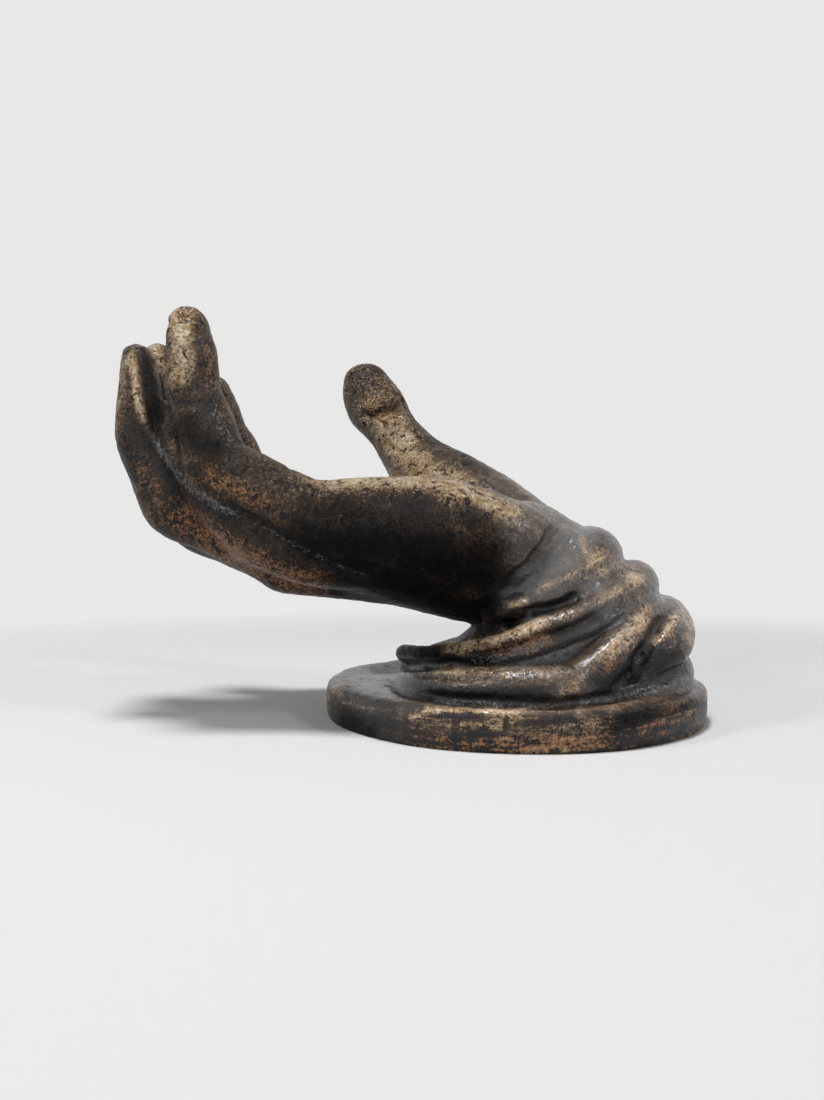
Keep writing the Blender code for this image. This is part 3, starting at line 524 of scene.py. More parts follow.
def add_limb(mesh, rows, side, squareness=LIMB_SQUARENESS):
    """A closed round-ended body along rows of x, y, z, half width and two depths. Side points across it."""
    rows = smooth_rows(rows)
    centres = rows[:, :3]
    tangents = np.gradient(centres, axis=0)
    first, last = unit(tangents[0]), unit(tangents[-1])
    sections = []
    for k in range(CAP_STEPS, 0, -1):
        sections.append((rows[0], first, -1.0, k / CAP_STEPS))
    for row, tangent in zip(rows, tangents):
        sections.append((row, unit(tangent), 0.0, 0.0))
    for k in range(1, CAP_STEPS + 1):
        sections.append((rows[-1], last, 1.0, k / CAP_STEPS))
    rings, poles = [], []
    for row, along, sense, share in sections:
        across = unit(np.asarray(side, float) - np.dot(side, along) * along)
        front = np.cross(across, along)
        reach = math.sin(share * math.pi / 2)
        shrink = math.cos(share * math.pi / 2)
        bulge = 0.5 * row[3] + 0.25 * (row[4] + row[5])
        centre = row[:3] + sense * reach * bulge * along
        if share == 1.0:
            poles.append(mesh.verts.new(centre))
            continue
        ring = []
        for i in range(RING_POINTS):
            angle = 2 * math.pi * i / RING_POINTS
            c, s = math.cos(angle), math.sin(angle)
            power = 2.0 / squareness
            u = math.copysign(abs(c) ** power, c) * row[3] * shrink
            v = math.copysign(abs(s) ** power, s) * (row[5] if s > 0 else row[4]) * shrink
            ring.append(mesh.verts.new(centre + u * across + v * front))
        rings.append(ring)
    join_rings(mesh, rings)
    for i in range(RING_POINTS):
        j = (i + 1) % RING_POINTS
        mesh.faces.new((poles[0], rings[0][j], rings[0][i]))
        mesh.faces.new((poles[1], rings[-1][i], rings[-1][j]))


def add_fold(mesh, rows):
    """A round tube along rows of x, y, z and radius."""
    add_limb(mesh, [(x, y, z, r, r, r) for x, y, z, r in rows], (0.0, 0.0, 1.0), squareness=2.0)


def add_levels(mesh, levels):
    """A closed heap through level outlines of z, centre x, centre y, half length and half width."""
    rows = smooth_rows(levels)
    rings = []
    for z, cx, cy, half_x, half_y in rows:
        ring = []
        for i in range(2 * RING_POINTS):
            angle = math.pi * i / RING_POINTS
            ring.append(mesh.verts.new((cx + half_x * math.cos(angle), cy + half_y * math.sin(angle), z)))
        rings.append(ring)
    join_rings(mesh, rings)
    mesh.faces.new(list(reversed(rings[0])))
    mesh.faces.new(rings[-1])


def add_base(mesh):
    """The disc, with a rounded upper rim and a slight draft at its foot."""
    profile = [
        (BASE_RADIUS - 2.0 * FOOT_DRAFT * BASE_EDGE_ROUND, UNDERSIDE - BELOW_THE_CUT),
        (BASE_RADIUS - FOOT_DRAFT * BASE_EDGE_ROUND, UNDERSIDE),
        (BASE_RADIUS, UNDERSIDE + FOOT_HEIGHT * (BASE_TOP - UNDERSIDE)),
    ]
    for k in range(BASE_EDGE_STEPS + 1):
        angle = math.pi / 2 * k / BASE_EDGE_STEPS
        out, up = BASE_EDGE_ROUND * math.cos(angle), BASE_EDGE_ROUND * math.sin(angle)
        profile.append((BASE_RADIUS - BASE_EDGE_ROUND + out, BASE_TOP - BASE_EDGE_ROUND + up))
    rings = []
    for radius, z in profile:
        ring = []
        for i in range(BASE_SEGMENTS):
            angle = 2 * math.pi * i / BASE_SEGMENTS
            x = BASE_CENTRE[0] + radius * math.cos(angle)
            y = BASE_CENTRE[1] + radius * math.sin(angle)
            ring.append(mesh.verts.new((x, y, z)))
        rings.append(ring)
    join_rings(mesh, rings)
    mesh.faces.new(list(reversed(rings[0])))
    mesh.faces.new(rings[-1])


def finger_joints(finger):
    """The knuckle, both joints and the tip of a finger, and its direction across."""
    yaw = math.radians(finger["yaw"])
    points = [np.array(finger["knuckle"], float)]
    for bone, rise in zip(finger["bones"], finger["rises"]):
        rise = math.radians(rise)
        step = (-math.cos(rise) * math.cos(yaw), -math.cos(rise) * math.sin(yaw), math.sin(rise))
        points.append(points[-1] + bone * np.array(step))
    across = (-math.sin(yaw), math.cos(yaw), 0.0)
    return points, across


def along_bones(points, place):
    """The point at a place along a chain of bones, with the corners at its joints rounded off."""
    total = np.zeros(3)
    for offset, weight in ((-JOINT_ROUNDING, 0.25), (0.0, 0.5), (JOINT_ROUNDING, 0.25)):
        at = min(max(place + offset, 0.0), 3.0)
        i = min(int(at), 2)
        total += weight * (points[i] + (at - i) * (points[i + 1] - points[i]))
    return total


def add_finger(mesh, finger):
    points, across = finger_joints(finger)
    rows = []
    for place, width, back, pad in FINGER_SECTIONS:
        slim = 1.0 + (finger["tip"] - 1.0) * min(max(place - TIP_STARTS, 0.0) / SHARE_SPAN, 1.0)
        belly = 1.0 + (finger["belly"] - 1.0) * min(max(BELLY_ENDS - place, 0.0) / SHARE_SPAN, 1.0)
        shares = (width, back * belly * slim, pad * slim)
        rows.append((*along_bones(points, place), *(finger["half_width"] * share for share in shares)))
    add_limb(mesh, rows, across, FINGER_SQUARENESS)


def blocked_out():
    """All the overlapping bodies of the sculpture in one mesh, before they are fused."""
    mesh = bmesh.new()
    add_base(mesh)
    add_levels(mesh, CLOTH_LEVELS)
    for rows in FOLDS.values():
        add_fold(mesh, rows)
    across = (0.0, 1.0, 0.0)
    add_limb(mesh, SLEEVE, across)
    add_limb(mesh, PALM_SLAB, across)
    for rows in METACARPALS.values():
        add_limb(mesh, rows, across)
    for rows in FLESH.values():
        add_limb(mesh, rows, across)
    add_limb(mesh, THUMB_PATH, THUMB_SIDE)
    for finger in FINGERS.values():
        add_finger(mesh, finger)
    bmesh.ops.recalc_face_normals(mesh, faces=mesh.faces)
    data = bpy.data.meshes.new("blocked_out")
    mesh.to_mesh(data)
    mesh.free()
    return data


def in_scene(name, data):
    obj = bpy.data.objects.new(name, data)
    bpy.context.scene.collection.objects.link(obj)
    return obj


def evaluated_mesh(obj):
    """The object's mesh with its modifiers in it."""
    bpy.context.view_layer.update()
    graph = bpy.context.evaluated_depsgraph_get()
    return bpy.data.meshes.new_from_object(obj.evaluated_get(graph))


def soften(obj, softness, group=""):
    """Smooths the skin. Softness is an area in square millimetres, the same at any voxel size."""
    modifier = obj.modifiers.new("soften", "SMOOTH")
    modifier.factor = 0.5
    modifier.iterations = round(softness / VOXEL**2)
    modifier.vertex_group = group


def drop_inner_skins(obj):
    """Fills each small space that the bodies enclose: every closed skin goes but the outer, largest one."""
    mesh = bmesh.new()
    mesh.from_mesh(obj.data)
    unseen = set(mesh.faces)
    skins = []
    while unseen:
        reached = [unseen.pop()]
        for face in reached:
            near = {other for edge in face.edges for other in edge.link_faces} & unseen
            unseen -= near
            reached.extend(near)
        skins.append(reached)
    skins.sort(key=len)
    for inner in skins[:-1]:
        bmesh.ops.delete(mesh, geom=inner, context="FACES")
    mesh.to_mesh(obj.data)
    mesh.free()


def fuse(obj):
    """Turns the overlapping bodies into one closed skin and softens it, the hand more than the cloth."""
    remesh = obj.modifiers.new("fuse", "REMESH")
    remesh.mode = "VOXEL"
    remesh.voxel_size = VOXEL
    soften(obj, SOFTNESS)
    obj.data = evaluated_mesh(obj)
    obj.modifiers.clear()
    drop_inner_skins(obj)
    points, _ = skin(obj)
    out = (points - np.array(CUFF_MOUTH)) @ np.array(OUT_OF_CUFF)
    hand = obj.vertex_groups.new(name="hand")
    hand.add(np.flatnonzero(out > 0.0).tolist(), 1.0, "REPLACE")
    soften(obj, HAND_SOFTNESS, "hand")
    obj.data = evaluated_mesh(obj)
    obj.modifiers.clear()
    obj.vertex_groups.clear()


def skin(obj):
    """The mesh's points and their normals as arrays."""
    count = len(obj.data.vertices)
    points = np.empty(3 * count)
    normals = np.empty(3 * count)
    obj.data.vertices.foreach_get("co", points)
    obj.data.vertex_normals.foreach_get("vector", normals)
    return points.reshape(-1, 3), normals.reshape(-1, 3)


def put_points(obj, points):
    obj.data.vertices.foreach_set("co", points.ravel())
    obj.data.update()


def line_strength(places, path, reach):
    """How strongly each place is under a line: 1 on it, 0 past its reach, fading towards the ends."""
    line = smooth_rows(path, LINE_STEPS)
    strength = np.zeros(len(places))
    near = np.all((places > line.min(0) - reach) & (places < line.max(0) + reach), axis=1)
    gaps = np.linalg.norm(places[near, None] - line[None], axis=2)
    along = gaps.argmin(axis=1) / (len(line) - 1)
    share = np.clip(1.0 - (gaps.min(axis=1) / reach) ** 2, 0.0, 1.0)
    fade = np.clip(np.minimum(along, 1.0 - along) / LINE_FADE, 0.0, 1.0)
    strength[near] = share**2 * fade * (2.0 - fade)
    return strength


def seen_from_front(points):
    """Where each point shows on the plane y = 0 from the viewpoint, as x and z."""
    view = np.array(VIEWPOINT)
    spread = -view[1] / (points[:, 1] - view[1])
    return view[[0, 2]] + (points[:, [0, 2]] - view[[0, 2]]) * spread[:, None]


def facing_front(points, normals):
    """How far each point's skin faces the viewpoint, from 0 to 1."""
    towards = np.array(VIEWPOINT) - points
    towards /= np.linalg.norm(towards, axis=1)[:, None]
    return np.clip(FACING_GAIN * np.sum(normals * towards, axis=1) + FACING_FLOOR, 0.0, 1.0)


def front_moves(points, normals):
    places = seen_from_front(points)
    facing = facing_front(points, normals)
    moves = np.zeros(len(points))
    for reach, move, path in FRONT_LINES.values():
        moves += move * facing * line_strength(places, path, reach)
    return moves


def palm_moves(points, normals):
    facing = np.clip(FACING_GAIN * normals[:, 2], 0.0, 1.0) * (points[:, 2] > PALM_LEVEL)
    moves = np.zeros(len(points))
    for reach, move, path in PALM_LINES.values():
        moves += move * facing * line_strength(points[:, :2], path, reach)
    return moves


def finger_moves(points, normals, finger):
    """The creases of one finger and the nail on its back."""
    joints, across = finger_joints(finger)
    across = np.array(across)
    moves = np.zeros(len(points))
    for place, reach, move, side in FINGER_CREASES:
        centre = along_bones(joints, place)
        along = unit(along_bones(joints, place + CREASE_STEP) - along_bones(joints, place - CREASE_STEP))
        front = np.cross(across, along) * (1.0 if side == "pad" else -1.0)
        path = []
        for angle in np.linspace(-CREASE_SWEEP, CREASE_SWEEP, CREASE_POINTS):
            outward = math.sin(angle) * across + math.cos(angle) * front
            path.append(centre + finger["half_width"] * outward)
        facing = np.clip(FACING_GAIN * normals @ front, 0.0, 1.0)
        moves += move * facing * line_strength(points, path, reach)
    return moves + nail_moves(points, normals, joints[2], joints[3], across, finger["half_width"])


def nail_moves(points, normals, joint, tip, across, half_width):
    """The sunk plate of the nail on the back of a last bone, which runs from its joint to its tip."""
    length = np.linalg.norm(tip - joint)
    along = (tip - joint) / length
    back = -np.cross(across, along)
    offset = points - joint
    place = (offset @ along / length - NAIL_ROOT) / (NAIL_END - NAIL_ROOT)
    sideways = np.abs(offset @ across) / (NAIL_HALF * half_width)
    plate = np.clip((1.0 - sideways) / NAIL_SIDE_SLOPE, 0.0, 1.0)
    plate *= np.clip(place / NAIL_ROOT_SLOPE, 0.0, 1.0) * np.clip((1.0 - place) / NAIL_SIDE_SLOPE, 0.0, 1.0)
    plate *= (np.linalg.norm(offset, axis=1) < NAIL_REACH * length) & (normals @ back > NAIL_FACING)
    return -NAIL_SINK * plate


def thumb_nail_moves(points, normals):
    rows = np.array(THUMB_PATH)
    joint, tip = rows[THUMB_JOINT_ROW, :3], rows[-1, :3]
    tip = tip + unit(tip - joint) * rows[-1, 4]
    along = unit(tip - joint)
    across = unit(np.dot(THUMB_SIDE, along) * along - np.array(THUMB_SIDE))
    return nail_moves(points, normals, joint, tip, across, rows[-2, 3])


def work_skin(obj):
    """Creases, folds' fine lines and nails, as moves of the fused skin along its normals."""
    points, normals = skin(obj)
    moves = front_moves(points, normals) + palm_moves(points, normals) + thumb_nail_moves(points, normals)
    for finger in FINGERS.values():
        moves += finger_moves(points, normals, finger)
    put_points(obj, points + normals * moves[:, None])


def cut_flat(obj):
    """Cuts the casting off at its underside and closes it with one flat face."""
    mesh = bmesh.new()
    mesh.from_mesh(obj.data)
    geometry = mesh.verts[:] + mesh.edges[:] + mesh.faces[:]
    cut = bmesh.ops.bisect_plane(
        mesh, geom=geometry, dist=1e-4, plane_co=(0, 0, UNDERSIDE), plane_no=(0, 0, 1), clear_inner=True
    )
    rim = [e for e in cut["geom_cut"] if isinstance(e, bmesh.types.BMEdge)]
    bmesh.ops.holes_fill(mesh, edges=rim, sides=0)
    bmesh.ops.recalc_face_normals(mesh, faces=mesh.faces)
    mesh.to_mesh(obj.data)
    mesh.free()


def to_own_frame(obj):
    """Moves the origin to the centre of the underside, and turns millimetres into metres."""
    points, _ = skin(obj)
    points -= (*BASE_CENTRE, UNDERSIDE)
    put_points(obj, points * MM)


def reduce(obj, triangles):
    obj.data.calc_loop_triangles()
    count = len(obj.data.loop_triangles)
    if count <= triangles:
        return
    decimate = obj.modifiers.new("reduce", "DECIMATE")
    decimate.ratio = triangles / count
    decimate.use_collapse_triangulate = True
    obj.data = evaluated_mesh(obj)
    obj.modifiers.clear()


def neighbours_mean(values, edges, counts):
    """The mean of each point's neighbours along the mesh's edges."""
    total = np.empty_like(values)
    for axis in range(values.shape[1]):
        column = values[:, axis]
        total[:, axis] = np.bincount(edges[:, 0], column[edges[:, 1]], len(values))
        total[:, axis] += np.bincount(edges[:, 1], column[edges[:, 0]], len(values))
    return total / counts[:, None]


def height_above(obj, spread):
    """How many millimetres each point stands above the skin round it. Spread is an area, as softness is."""
    points, normals = skin(obj)
    edges = np.empty(2 * len(obj.data.edges), int)
    obj.data.edges.foreach_get("vertices", edges)
    edges = edges.reshape(-1, 2)
    counts = np.maximum(np.bincount(edges.ravel(), minlength=len(points)), 1)
    smooth = points.copy()
    for _ in range(max(1, round(spread / VOXEL**2))):
        smooth = 0.5 * smooth + 0.5 * neighbours_mean(smooth, edges, counts)
    return np.sum((points - smooth) * normals, axis=1)


def unevenness(points, wavelength, seed):
    """Smooth noise of about that wavelength, from -1 to 1."""
    shift = Vector([part * seed for part in LUMP_SHIFT])
    return np.array([noise.noise(Vector(point) / wavelength + shift) for point in points])


def pit_moves(points, normals):
    """Small round casting pits scattered over the skin, and the large ones."""
    rng = np.random.default_rng(PIT_SEED)
    moves = np.zeros(len(points))
    for centre in points[rng.integers(0, len(points), PIT_COUNT)]:
        reach = rng.uniform(*PIT_REACH)
        depth = rng.uniform(*PIT_DEPTH)
        near = np.flatnonzero(np.all(np.abs(points - centre) < reach, axis=1))
        gaps = np.linalg.norm(points[near] - centre, axis=1)
        moves[near] -= depth * np.clip(1.0 - (gaps / reach) ** 2, 0.0, 1.0)
    places = seen_from_front(points)
    facing = facing_front(points, normals)
    for x, z, reach, depth in LARGE_PITS:
        gaps = np.hypot(places[:, 0] - x, places[:, 1] - z)
        moves -= depth * facing * np.clip(1.0 - (gaps / reach) ** 2, 0.0, 1.0)
    return moves


def roughen(obj):
    """The lumps, grain and pits of the sand casting, as moves along the skin's normals."""
    points, normals = skin(obj)
    moves = pit_moves(points, normals)
    for seed, (wavelength, depth) in enumerate(SKIN_LUMPS, start=1):
        if wavelength > FINEST_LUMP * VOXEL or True:
            moves += depth * unevenness(points, wavelength, seed)
    put_points(obj, points + normals * moves[:, None])
    keep_on_points(obj, "grain_height", np.clip(0.5 + moves / GRAIN_HEIGHT, 0.0, 1.0))


def front_place(column, row):
    """Where a place in the photograph meets the upright plane through the object's middle, as x and z."""
    millimetres = -VIEWPOINT[1] / FOCAL_PIXELS
    across = (column - IMAGE_SIZE[0] / 2) * millimetres
    down = (row - IMAGE_SIZE[1] / 2) * millimetres
    return VIEWPOINT[0] + across, VIEWPOINT[2] - down


def painted(points, normals, strokes):
    places = seen_from_front(points)
    facing = facing_front(points, normals)
    amount = np.zeros(len(points))
    for reach, strength, path in strokes.values():
        line = [front_place(column, row) for column, row in path]
        amount = np.maximum(amount, strength * facing * line_strength(places, line, reach))
    return amount


def keep_on_points(obj, name, values):
    attribute = obj.data.attributes.new(name, "FLOAT", "POINT")
    attribute.data.foreach_set("value", np.ascontiguousarray(values, np.float32))


def mark_patina(obj):
    """Keeps on the points what the patina reads: what stands high or low, what faces up for painted light,
    and the strokes.
    """
    points, normals = skin(obj)
    fold = height_above(obj, FOLD_SPREAD) / FOLD_HEIGHT
    keep_on_points(obj, "fold_height", np.clip(0.5 + 0.5 * fold, 0.0, 1.0))
    for name, strokes in STROKES.items():
        keep_on_points(obj, name, painted(points, normals, strokes))
    # Painted light: skin that faces up is later made lighter in colour, as if lit from above
    keep_on_points(obj, "facing_up_painted_light", np.clip(0.5 + 0.5 * normals[:, 2], 0.0, 1.0))


class Nodes:
    """Short ways to add and join shader nodes."""

    def __init__(self, material):
        self.tree = material.node_tree

    def add(self, kind, **settings):
        node = self.tree.nodes.new(kind)
        for name, value in settings.items():
            setattr(node, name, value)
        return node

    def feed(self, socket, value):
        if isinstance(value, bpy.types.NodeSocket):
            self.tree.links.new(value, socket)
        else:
            socket.default_value = value

    def math(self, operation, a, b=0.0, c=0.0):
        node = self.add("ShaderNodeMath", operation=operation)
        for socket, value in zip(node.inputs, (a, b, c)):
            self.feed(socket, value)
        return node.outputs[0]

    def total(self, values, weights, start=0.0):
        """The sum of the named values, each times its weight."""
        result = start
        for name, weight in weights.items():
            result = self.math("MULTIPLY_ADD", values[name], weight, result)
        return result

    def ramp(self, value, low, high):
        """Value taken smoothly from 0 at low to 1 at high."""
        node = self.add("ShaderNodeMapRange", interpolation_type="SMOOTHSTEP")
        for socket, entry in zip(node.inputs, (value, low, high)):
            self.feed(socket, entry)
        return node.outputs[0]

    def blend(self, share, a, b):
        """Colour a where share is 0, b where it is 1."""
        node = self.add("ShaderNodeMix", data_type="RGBA")
        self.feed(node.inputs[0], share)
        self.feed(node.inputs[6], a)
        self.feed(node.inputs[7], b)
        return node.outputs[2]

    def attribute(self, name):
        return self.add("ShaderNodeAttribute", attribute_name=name).outputs["Fac"]

    def noise(self, where, scale, detail, roughness):
        node = self.add("ShaderNodeTexNoise")
        self.feed(node.inputs["Vector"], where)
        self.feed(node.inputs["Scale"], scale)
        self.feed(node.inputs["Detail"], detail)
        self.feed(node.inputs["Roughness"], roughness)
        return node.outputs["Fac"]


# The patina's colours, from the deepest hollows to bare worn metal, with pale dust that also paints
# highlights and a painted sheen
SOOT = (0.004, 0.004, 0.004, 1.0)
BROWN = (0.030, 0.018, 0.011, 1.0)
UMBER = (0.120, 0.070, 0.034, 1.0)
TAN = (0.66, 0.51, 0.35, 1.0)
GOLD = (0.62, 0.39, 0.17, 1.0)
CREAM = (0.88, 0.76, 0.56, 1.0)
COPPER = (0.42, 0.200, 0.083, 1.0)
# Pale dust that also stands for painted highlights, and a painted sheen of grey reflection
DUST_AND_HIGHLIGHT = (0.27, 0.27, 0.26, 1.0)
PAINTED_SHEEN = (0.280, 0.265, 0.250, 1.0)
# Where the glossy cloth begins and is full along x, and the base and the rim down along z, in metres
CLOTH_BEGINS = (-0.014, 0.002)
BASE_REGION = (0.024, 0.016)
RIM_REGION = (0.0115, 0.0090)
# How finely the rim's level streaks repeat along each axis
RIM_STREAKS = (55.0, 55.0, 420.0)
STREAK_NOISE = (1.0, 5.0, 0.65, 0.34, 0.66)
# The skin's noises: scale, detail, roughness, and the noise that counts as none and as full
NOISES = {
    "grit": (1600.0, 3.0, 0.70, 0.36, 0.64),
    "land": (1000.0, 4.0, 0.75, 0.42, 0.54),
    "pocks": (400.0, 3.0, 0.60, 0.43, 0.37),
    "cloud": (260.0, 4.0, 0.70, 0.34, 0.66),
    "blotch": (70.0, 4.0, 0.60, 0.36, 0.64),
}
MARKS = ("fold_height", "grain_height", "facing_up_painted_light", *STROKES)
# How high, open and worn the skin counts as, with painted light where it faces up and painted shade under
# the shade strokes, and where along that each colour comes in
HIGH_START = 0.14
HIGH_WEIGHTS = {
    "fold_height": 0.80,
    "grain_height": 0.35,
    "blotch": 0.32,
    "cloud": 0.24,
    "grit": 0.42,
    "land": 0.36,
    "pocks": -0.65,
    # painted light: skin that faces up is made lighter, as if lit from above
    "facing_up_painted_light": 0.25,
    "worn": 0.95,
    # painted shade: the shade strokes darken the colour
    "painted_shade": -0.60,
}
BROWN_RANGE = (1.15, 1.55)
UMBER_RANGE = (1.55, 2.10)
TAN_RANGE = (1.85, 2.85)
CREAM_RANGE = (2.60, 3.20)
# Bare copper, and pale dust that also paints highlights and glints, each only near its strokes
COPPER_WEIGHTS = {"copper": 0.80, "grit": 0.60, "cloud": 0.35, "land": 0.60, "pocks": -0.60}
COPPER_RANGE = (1.10, 2.05)
DUST_AND_HIGHLIGHT_WEIGHTS = {"dust_and_painted_highlight": 0.70, "grit": 0.50, "land": 0.60}
DUST_AND_HIGHLIGHT_RANGE = (0.90, 1.75)
STROKE_RANGE = (0.02, 0.50)
# What the rim's streaks add, as weight and start
STREAKS_HIGH = (1.30, -0.85)
STREAKS_COPPER = (1.20, -0.60)
# How much of the painted sheen's grey goes into the colour where the polish strokes lie
PAINTED_SHEEN_SHARE = 0.35
TAN_METALLIC = 0.25
# The relief under the coat and in it, as weights, its depth in metres, and how much gloss smooths it
RELIEF_WEIGHTS = {"cloud": 1.2, "grit": 0.6, "land": 1.0, "pocks": -1.2}
RELIEF_DEPTH = 0.0004
RELIEF_SMOOTHED = -0.6
COAT_WEIGHTS = {"cloud": 1.5, "land": 0.6, "pocks": -2.0}
COAT_DEPTH = 0.0001
COAT_SMOOTHED = -0.4
COAT_IOR = 1.7
# What each of these inputs of the shader sums: weights and start
# The painted shade strokes also take away specular and coat, so that shaded skin shows less reflection
SURFACE = {
    "Roughness": ({"grit": 0.22, "polish_and_painted_sheen": -0.10}, 0.30),
    "Specular IOR Level": ({"painted_shade": -0.12}, 0.22),
    "Coat Weight": ({"glossy": 0.60, "polish_and_painted_sheen": 0.40, "rim": -0.45, "painted_shade": -0.40}, 0.10),
    "Coat Roughness": ({"glossy": -0.09, "polish_and_painted_sheen": -0.02}, 0.19),
}


def skin_marks(nodes, where):
    """All that the patina reads, by name: marks kept on the points, noises, and the casting's regions."""
    marks = {name: nodes.attribute(name) for name in MARKS}
    for name, (scale, detail, roughness, low, high) in NOISES.items():
        marks[name] = nodes.ramp(nodes.noise(where, scale, detail, roughness), low, high)
    axes = nodes.add("ShaderNodeSeparateXYZ")
    nodes.feed(axes.inputs[0], where)
    cloth = nodes.ramp(axes.outputs[0], *CLOTH_BEGINS)
    marks["glossy"] = nodes.math("MAXIMUM", cloth, nodes.ramp(axes.outputs[2], *BASE_REGION))
    marks["rim"] = nodes.ramp(axes.outputs[2], *RIM_REGION)
    stretched = nodes.add("ShaderNodeVectorMath", operation="MULTIPLY")
    nodes.feed(stretched.inputs[0], where)
    stretched.inputs[1].default_value = RIM_STREAKS
    scale, detail, roughness, low, high = STREAK_NOISE
    streak = nodes.noise(stretched.outputs["Vector"], scale, detail, roughness)
    marks["streak"] = nodes.ramp(streak, low, high)
    return marks


def with_streaks(nodes, marks, value, weight, start):
    """Value with the rim's level streaks added, on the rim only."""
    streaks = nodes.math("MULTIPLY_ADD", marks["streak"], weight, start)
    return nodes.math("MULTIPLY_ADD", streaks, marks["rim"], value)


def near_strokes(nodes, marks, name, value, low, high):
    """Value as a share of a colour, kept to where the named strokes lie."""
    return nodes.math("MULTIPLY", nodes.ramp(value, low, high), nodes.ramp(marks[name], *STROKE_RANGE))


def patina_colour(nodes, marks):
    """The colour, with its painted light, shade, sheen and highlights, and how much of it is bare tan metal.
    """
    high = with_streaks(nodes, marks, nodes.total(marks, HIGH_WEIGHTS, HIGH_START), *STREAKS_HIGH)
    tan = nodes.ramp(high, *TAN_RANGE)
    copper = with_streaks(nodes, marks, nodes.total(marks, COPPER_WEIGHTS), *STREAKS_COPPER)
    copper = near_strokes(nodes, marks, "copper", copper, *COPPER_RANGE)
    # Pale dust, which also paints highlights and glints
    dust_and_highlight = near_strokes(nodes, marks, "dust_and_painted_highlight", nodes.total(marks, DUST_AND_HIGHLIGHT_WEIGHTS), *DUST_AND_HIGHLIGHT_RANGE)
    colour = nodes.blend(nodes.ramp(high, *BROWN_RANGE), SOOT, BROWN)
    colour = nodes.blend(nodes.ramp(high, *UMBER_RANGE), colour, UMBER)
    colour = nodes.blend(copper, colour, COPPER)
    colour = nodes.blend(dust_and_highlight, colour, DUST_AND_HIGHLIGHT)
    # Painted sheen: grey reflection laid into the colour where the polish strokes lie
    colour = nodes.blend(nodes.math("MULTIPLY", marks["polish_and_painted_sheen"], PAINTED_SHEEN_SHARE), colour, PAINTED_SHEEN)
    colour = nodes.blend(tan, colour, nodes.blend(marks["cloud"], GOLD, TAN))
    return nodes.blend(nodes.ramp(high, *CREAM_RANGE), colour, CREAM), tan


def relief(nodes, marks, weights, depth, smoothed):
    """A bump of the noises, shallower where the skin is glossy."""
    bump = nodes.add("ShaderNodeBump")
    bump.inputs["Strength"].default_value = 1.0
    bump.inputs["Distance"].default_value = depth
    share = nodes.math("MULTIPLY_ADD", marks["glossy"], smoothed, 1.0)
    nodes.feed(bump.inputs["Height"], nodes.math("MULTIPLY", nodes.total(marks, weights), share))
    return bump.outputs["Normal"]


def patinated_bronze():
    """Dark patina in what lies low, brown on the open skin, tan metal where worn or high, and painted shade
    and highlights.
    """
    material = bpy.data.materials.new("patinated_bronze")
    material.use_nodes = True
    nodes = Nodes(material)
    shader = material.node_tree.nodes["Principled BSDF"]
    marks = skin_marks(nodes, nodes.add("ShaderNodeTexCoord").outputs["Object"])
    colour, tan = patina_colour(nodes, marks)
    nodes.feed(shader.inputs["Base Color"], colour)
    nodes.feed(shader.inputs["Metallic"], nodes.math("MULTIPLY", tan, TAN_METALLIC))
    for name, (weights, start) in SURFACE.items():
        nodes.feed(shader.inputs[name], nodes.total(marks, weights, start))
    shader.inputs["Coat IOR"].default_value = COAT_IOR
    skin_relief = relief(nodes, marks, RELIEF_WEIGHTS, RELIEF_DEPTH, RELIEF_SMOOTHED)
    nodes.feed(shader.inputs["Normal"], skin_relief)
    coat_relief = relief(nodes, marks, COAT_WEIGHTS, COAT_DEPTH, COAT_SMOOTHED)
    nodes.feed(shader.inputs["Coat Normal"], coat_relief)
    return material


def cast_hand():
    obj = in_scene("cast_hand", blocked_out())
    fuse(obj)
    work_skin(obj)
    roughen(obj)
    mark_patina(obj)
    reduce(obj, FINISHED_TRIANGLES)
    cut_flat(obj)
    to_own_frame(obj)
    obj.data.shade_smooth()
    obj.data.materials.append(patinated_bronze())
    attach(obj, "root")
    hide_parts("hand_sculpture")


# The studio: a pale round floor that curves up into a wall
FLOOR_REACH = 1.3
WALL_CURVE = 0.7
WALL_TOP = 2.6
WALL_STEPS = 12
FLOOR_SEGMENTS = 96
FLOOR_PAINT = (0.80, 0.80, 0.80, 1.0)
PAINT_ROUGHNESS = 0.9
PAINT_SPECULAR = 0.1
BACKDROP = (0.805, 0.805, 0.800, 1.0)
# The floor round the object takes light and shadow, and from here to here it turns into the even backdrop
BACKDROP_STARTS = 0.18
BACKDROP_FULL = 0.48


def pale_paint():
    """Plain matt paint near the object. Further off, what is seen or mirrored is an even pale backdrop."""
    material = bpy.data.materials.new("pale_paint")
    material.use_nodes = True
    nodes = Nodes(material)
    shader = material.node_tree.nodes["Principled BSDF"]
    output = material.node_tree.nodes["Material Output"]
    shader.inputs["Base Color"].default_value = FLOOR_PAINT
    shader.inputs["Roughness"].default_value = PAINT_ROUGHNESS
    shader.inputs["Specular IOR Level"].default_value = PAINT_SPECULAR
    backdrop = nodes.add("ShaderNodeEmission")
    backdrop.inputs["Color"].default_value = BACKDROP
    length = nodes.add("ShaderNodeVectorMath", operation="LENGTH")
    nodes.feed(length.inputs[0], nodes.add("ShaderNodeTexCoord").outputs["Object"])
    far = nodes.ramp(length.outputs["Value"], BACKDROP_STARTS, BACKDROP_FULL)
    rays = nodes.add("ShaderNodeLightPath").outputs
    seen = nodes.math("MAXIMUM", rays["Is Camera Ray"], rays["Is Glossy Ray"])
    seen = nodes.math("MAXIMUM", seen, rays["Is Transmission Ray"])
    mix = nodes.add("ShaderNodeMixShader")
    nodes.feed(mix.inputs[0], nodes.math("MULTIPLY", far, seen))
    nodes.feed(mix.inputs[1], shader.outputs[0])
    nodes.feed(mix.inputs[2], backdrop.outputs[0])
    nodes.feed(output.inputs["Surface"], mix.outputs[0])
    return material


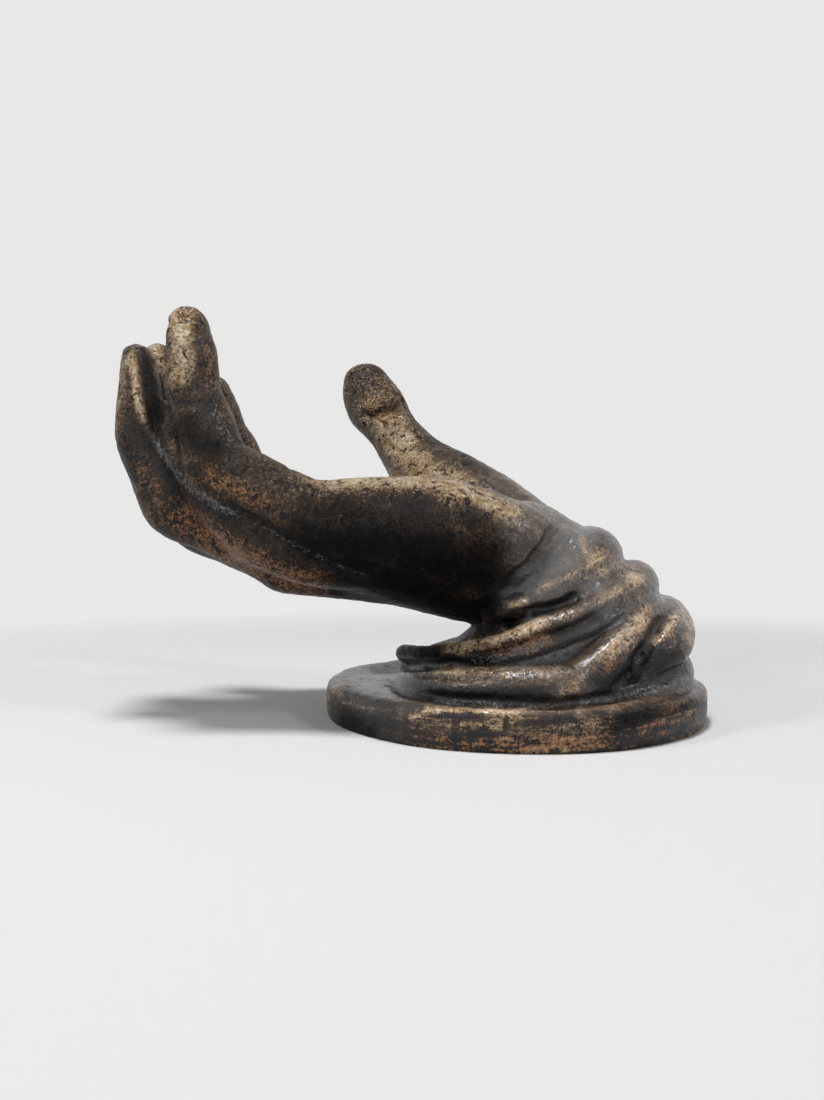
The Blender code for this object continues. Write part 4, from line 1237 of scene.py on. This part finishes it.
def floor():
    profile = [(0.0, 0.0), (FLOOR_REACH, 0.0)]
    for step in range(1, WALL_STEPS + 1):
        angle = math.pi / 2 * step / WALL_STEPS
        profile.append((FLOOR_REACH + WALL_CURVE * math.sin(angle), WALL_CURVE * (1.0 - math.cos(angle))))
    profile.append((FLOOR_REACH + WALL_CURVE, WALL_TOP))
    mesh = bmesh.new()
    verts = [mesh.verts.new((radius, 0.0, z)) for radius, z in profile]
    edges = [mesh.edges.new(pair) for pair in zip(verts, verts[1:])]
    bmesh.ops.spin(
        mesh,
        geom=verts + edges,
        cent=(0, 0, 0),
        axis=(0, 0, 1),
        angle=2 * math.pi,
        steps=FLOOR_SEGMENTS,
        use_merge=True,
    )
    bmesh.ops.remove_doubles(mesh, verts=mesh.verts, dist=1e-6)
    bmesh.ops.recalc_face_normals(mesh, faces=mesh.faces)
    bmesh.ops.reverse_faces(mesh, faces=mesh.faces)
    data = bpy.data.meshes.new("studio_floor")
    mesh.to_mesh(data)
    mesh.free()
    data.shade_smooth()
    data.materials.append(pale_paint())
    obj = in_scene("studio_floor", data)


# The lamps, each as place and size in metres and power in watts, and the place that they all point at
LAMPS = {
    "overhead": ((-0.10, -0.10, 0.95), 0.20, 6.0),
    "from_the_right": ((0.75, -0.45, 0.65), 0.20, 1.7),
    "from_the_left": ((-0.85, -0.35, 0.60), 0.20, 2.4),
}
LIT_PLACE = (-0.03, 0.0, 0.06)
WORLD_STRENGTH = 0.17


def lamp(name, place, size, power):
    light = bpy.data.lights.new(name, "AREA")
    light.shape = "DISK"
    light.size = size
    light.energy = power
    obj = in_scene(name, light)
    obj.location = place
    obj.rotation_euler = (Vector(LIT_PLACE) - Vector(place)).to_track_quat("-Z", "Y").to_euler()


def lights():
    for name, (place, size, power) in LAMPS.items():
        lamp(name, place, size, power)
    world = bpy.data.worlds.new("studio")
    world.use_nodes = True
    background = world.node_tree.nodes["Background"]
    background.inputs[0].default_value = (1.0, 1.0, 1.0, 1.0)
    background.inputs[1].default_value = WORLD_STRENGTH
    bpy.context.scene.world = world


# The photograph's viewpoint, in metres
CAMERA_PLACE = (-0.0324, -0.276, 0.0522)
SENSOR_WIDTH = 36.0
NEAREST_SEEN = 0.01


def camera():
    data = bpy.data.cameras.new("photo_view")
    data.sensor_width = SENSOR_WIDTH
    data.lens = SENSOR_WIDTH * FOCAL_PIXELS / IMAGE_SIZE[1]
    data.clip_start = NEAREST_SEEN
    obj = in_scene("photo_view", data)
    obj.location = CAMERA_PLACE
    obj.rotation_euler = (math.pi / 2, 0.0, 0.0)
    bpy.context.scene.camera = obj


bpy.context.scene.view_settings.view_transform = "Standard"
cast_hand()
floor()
lights()
camera()
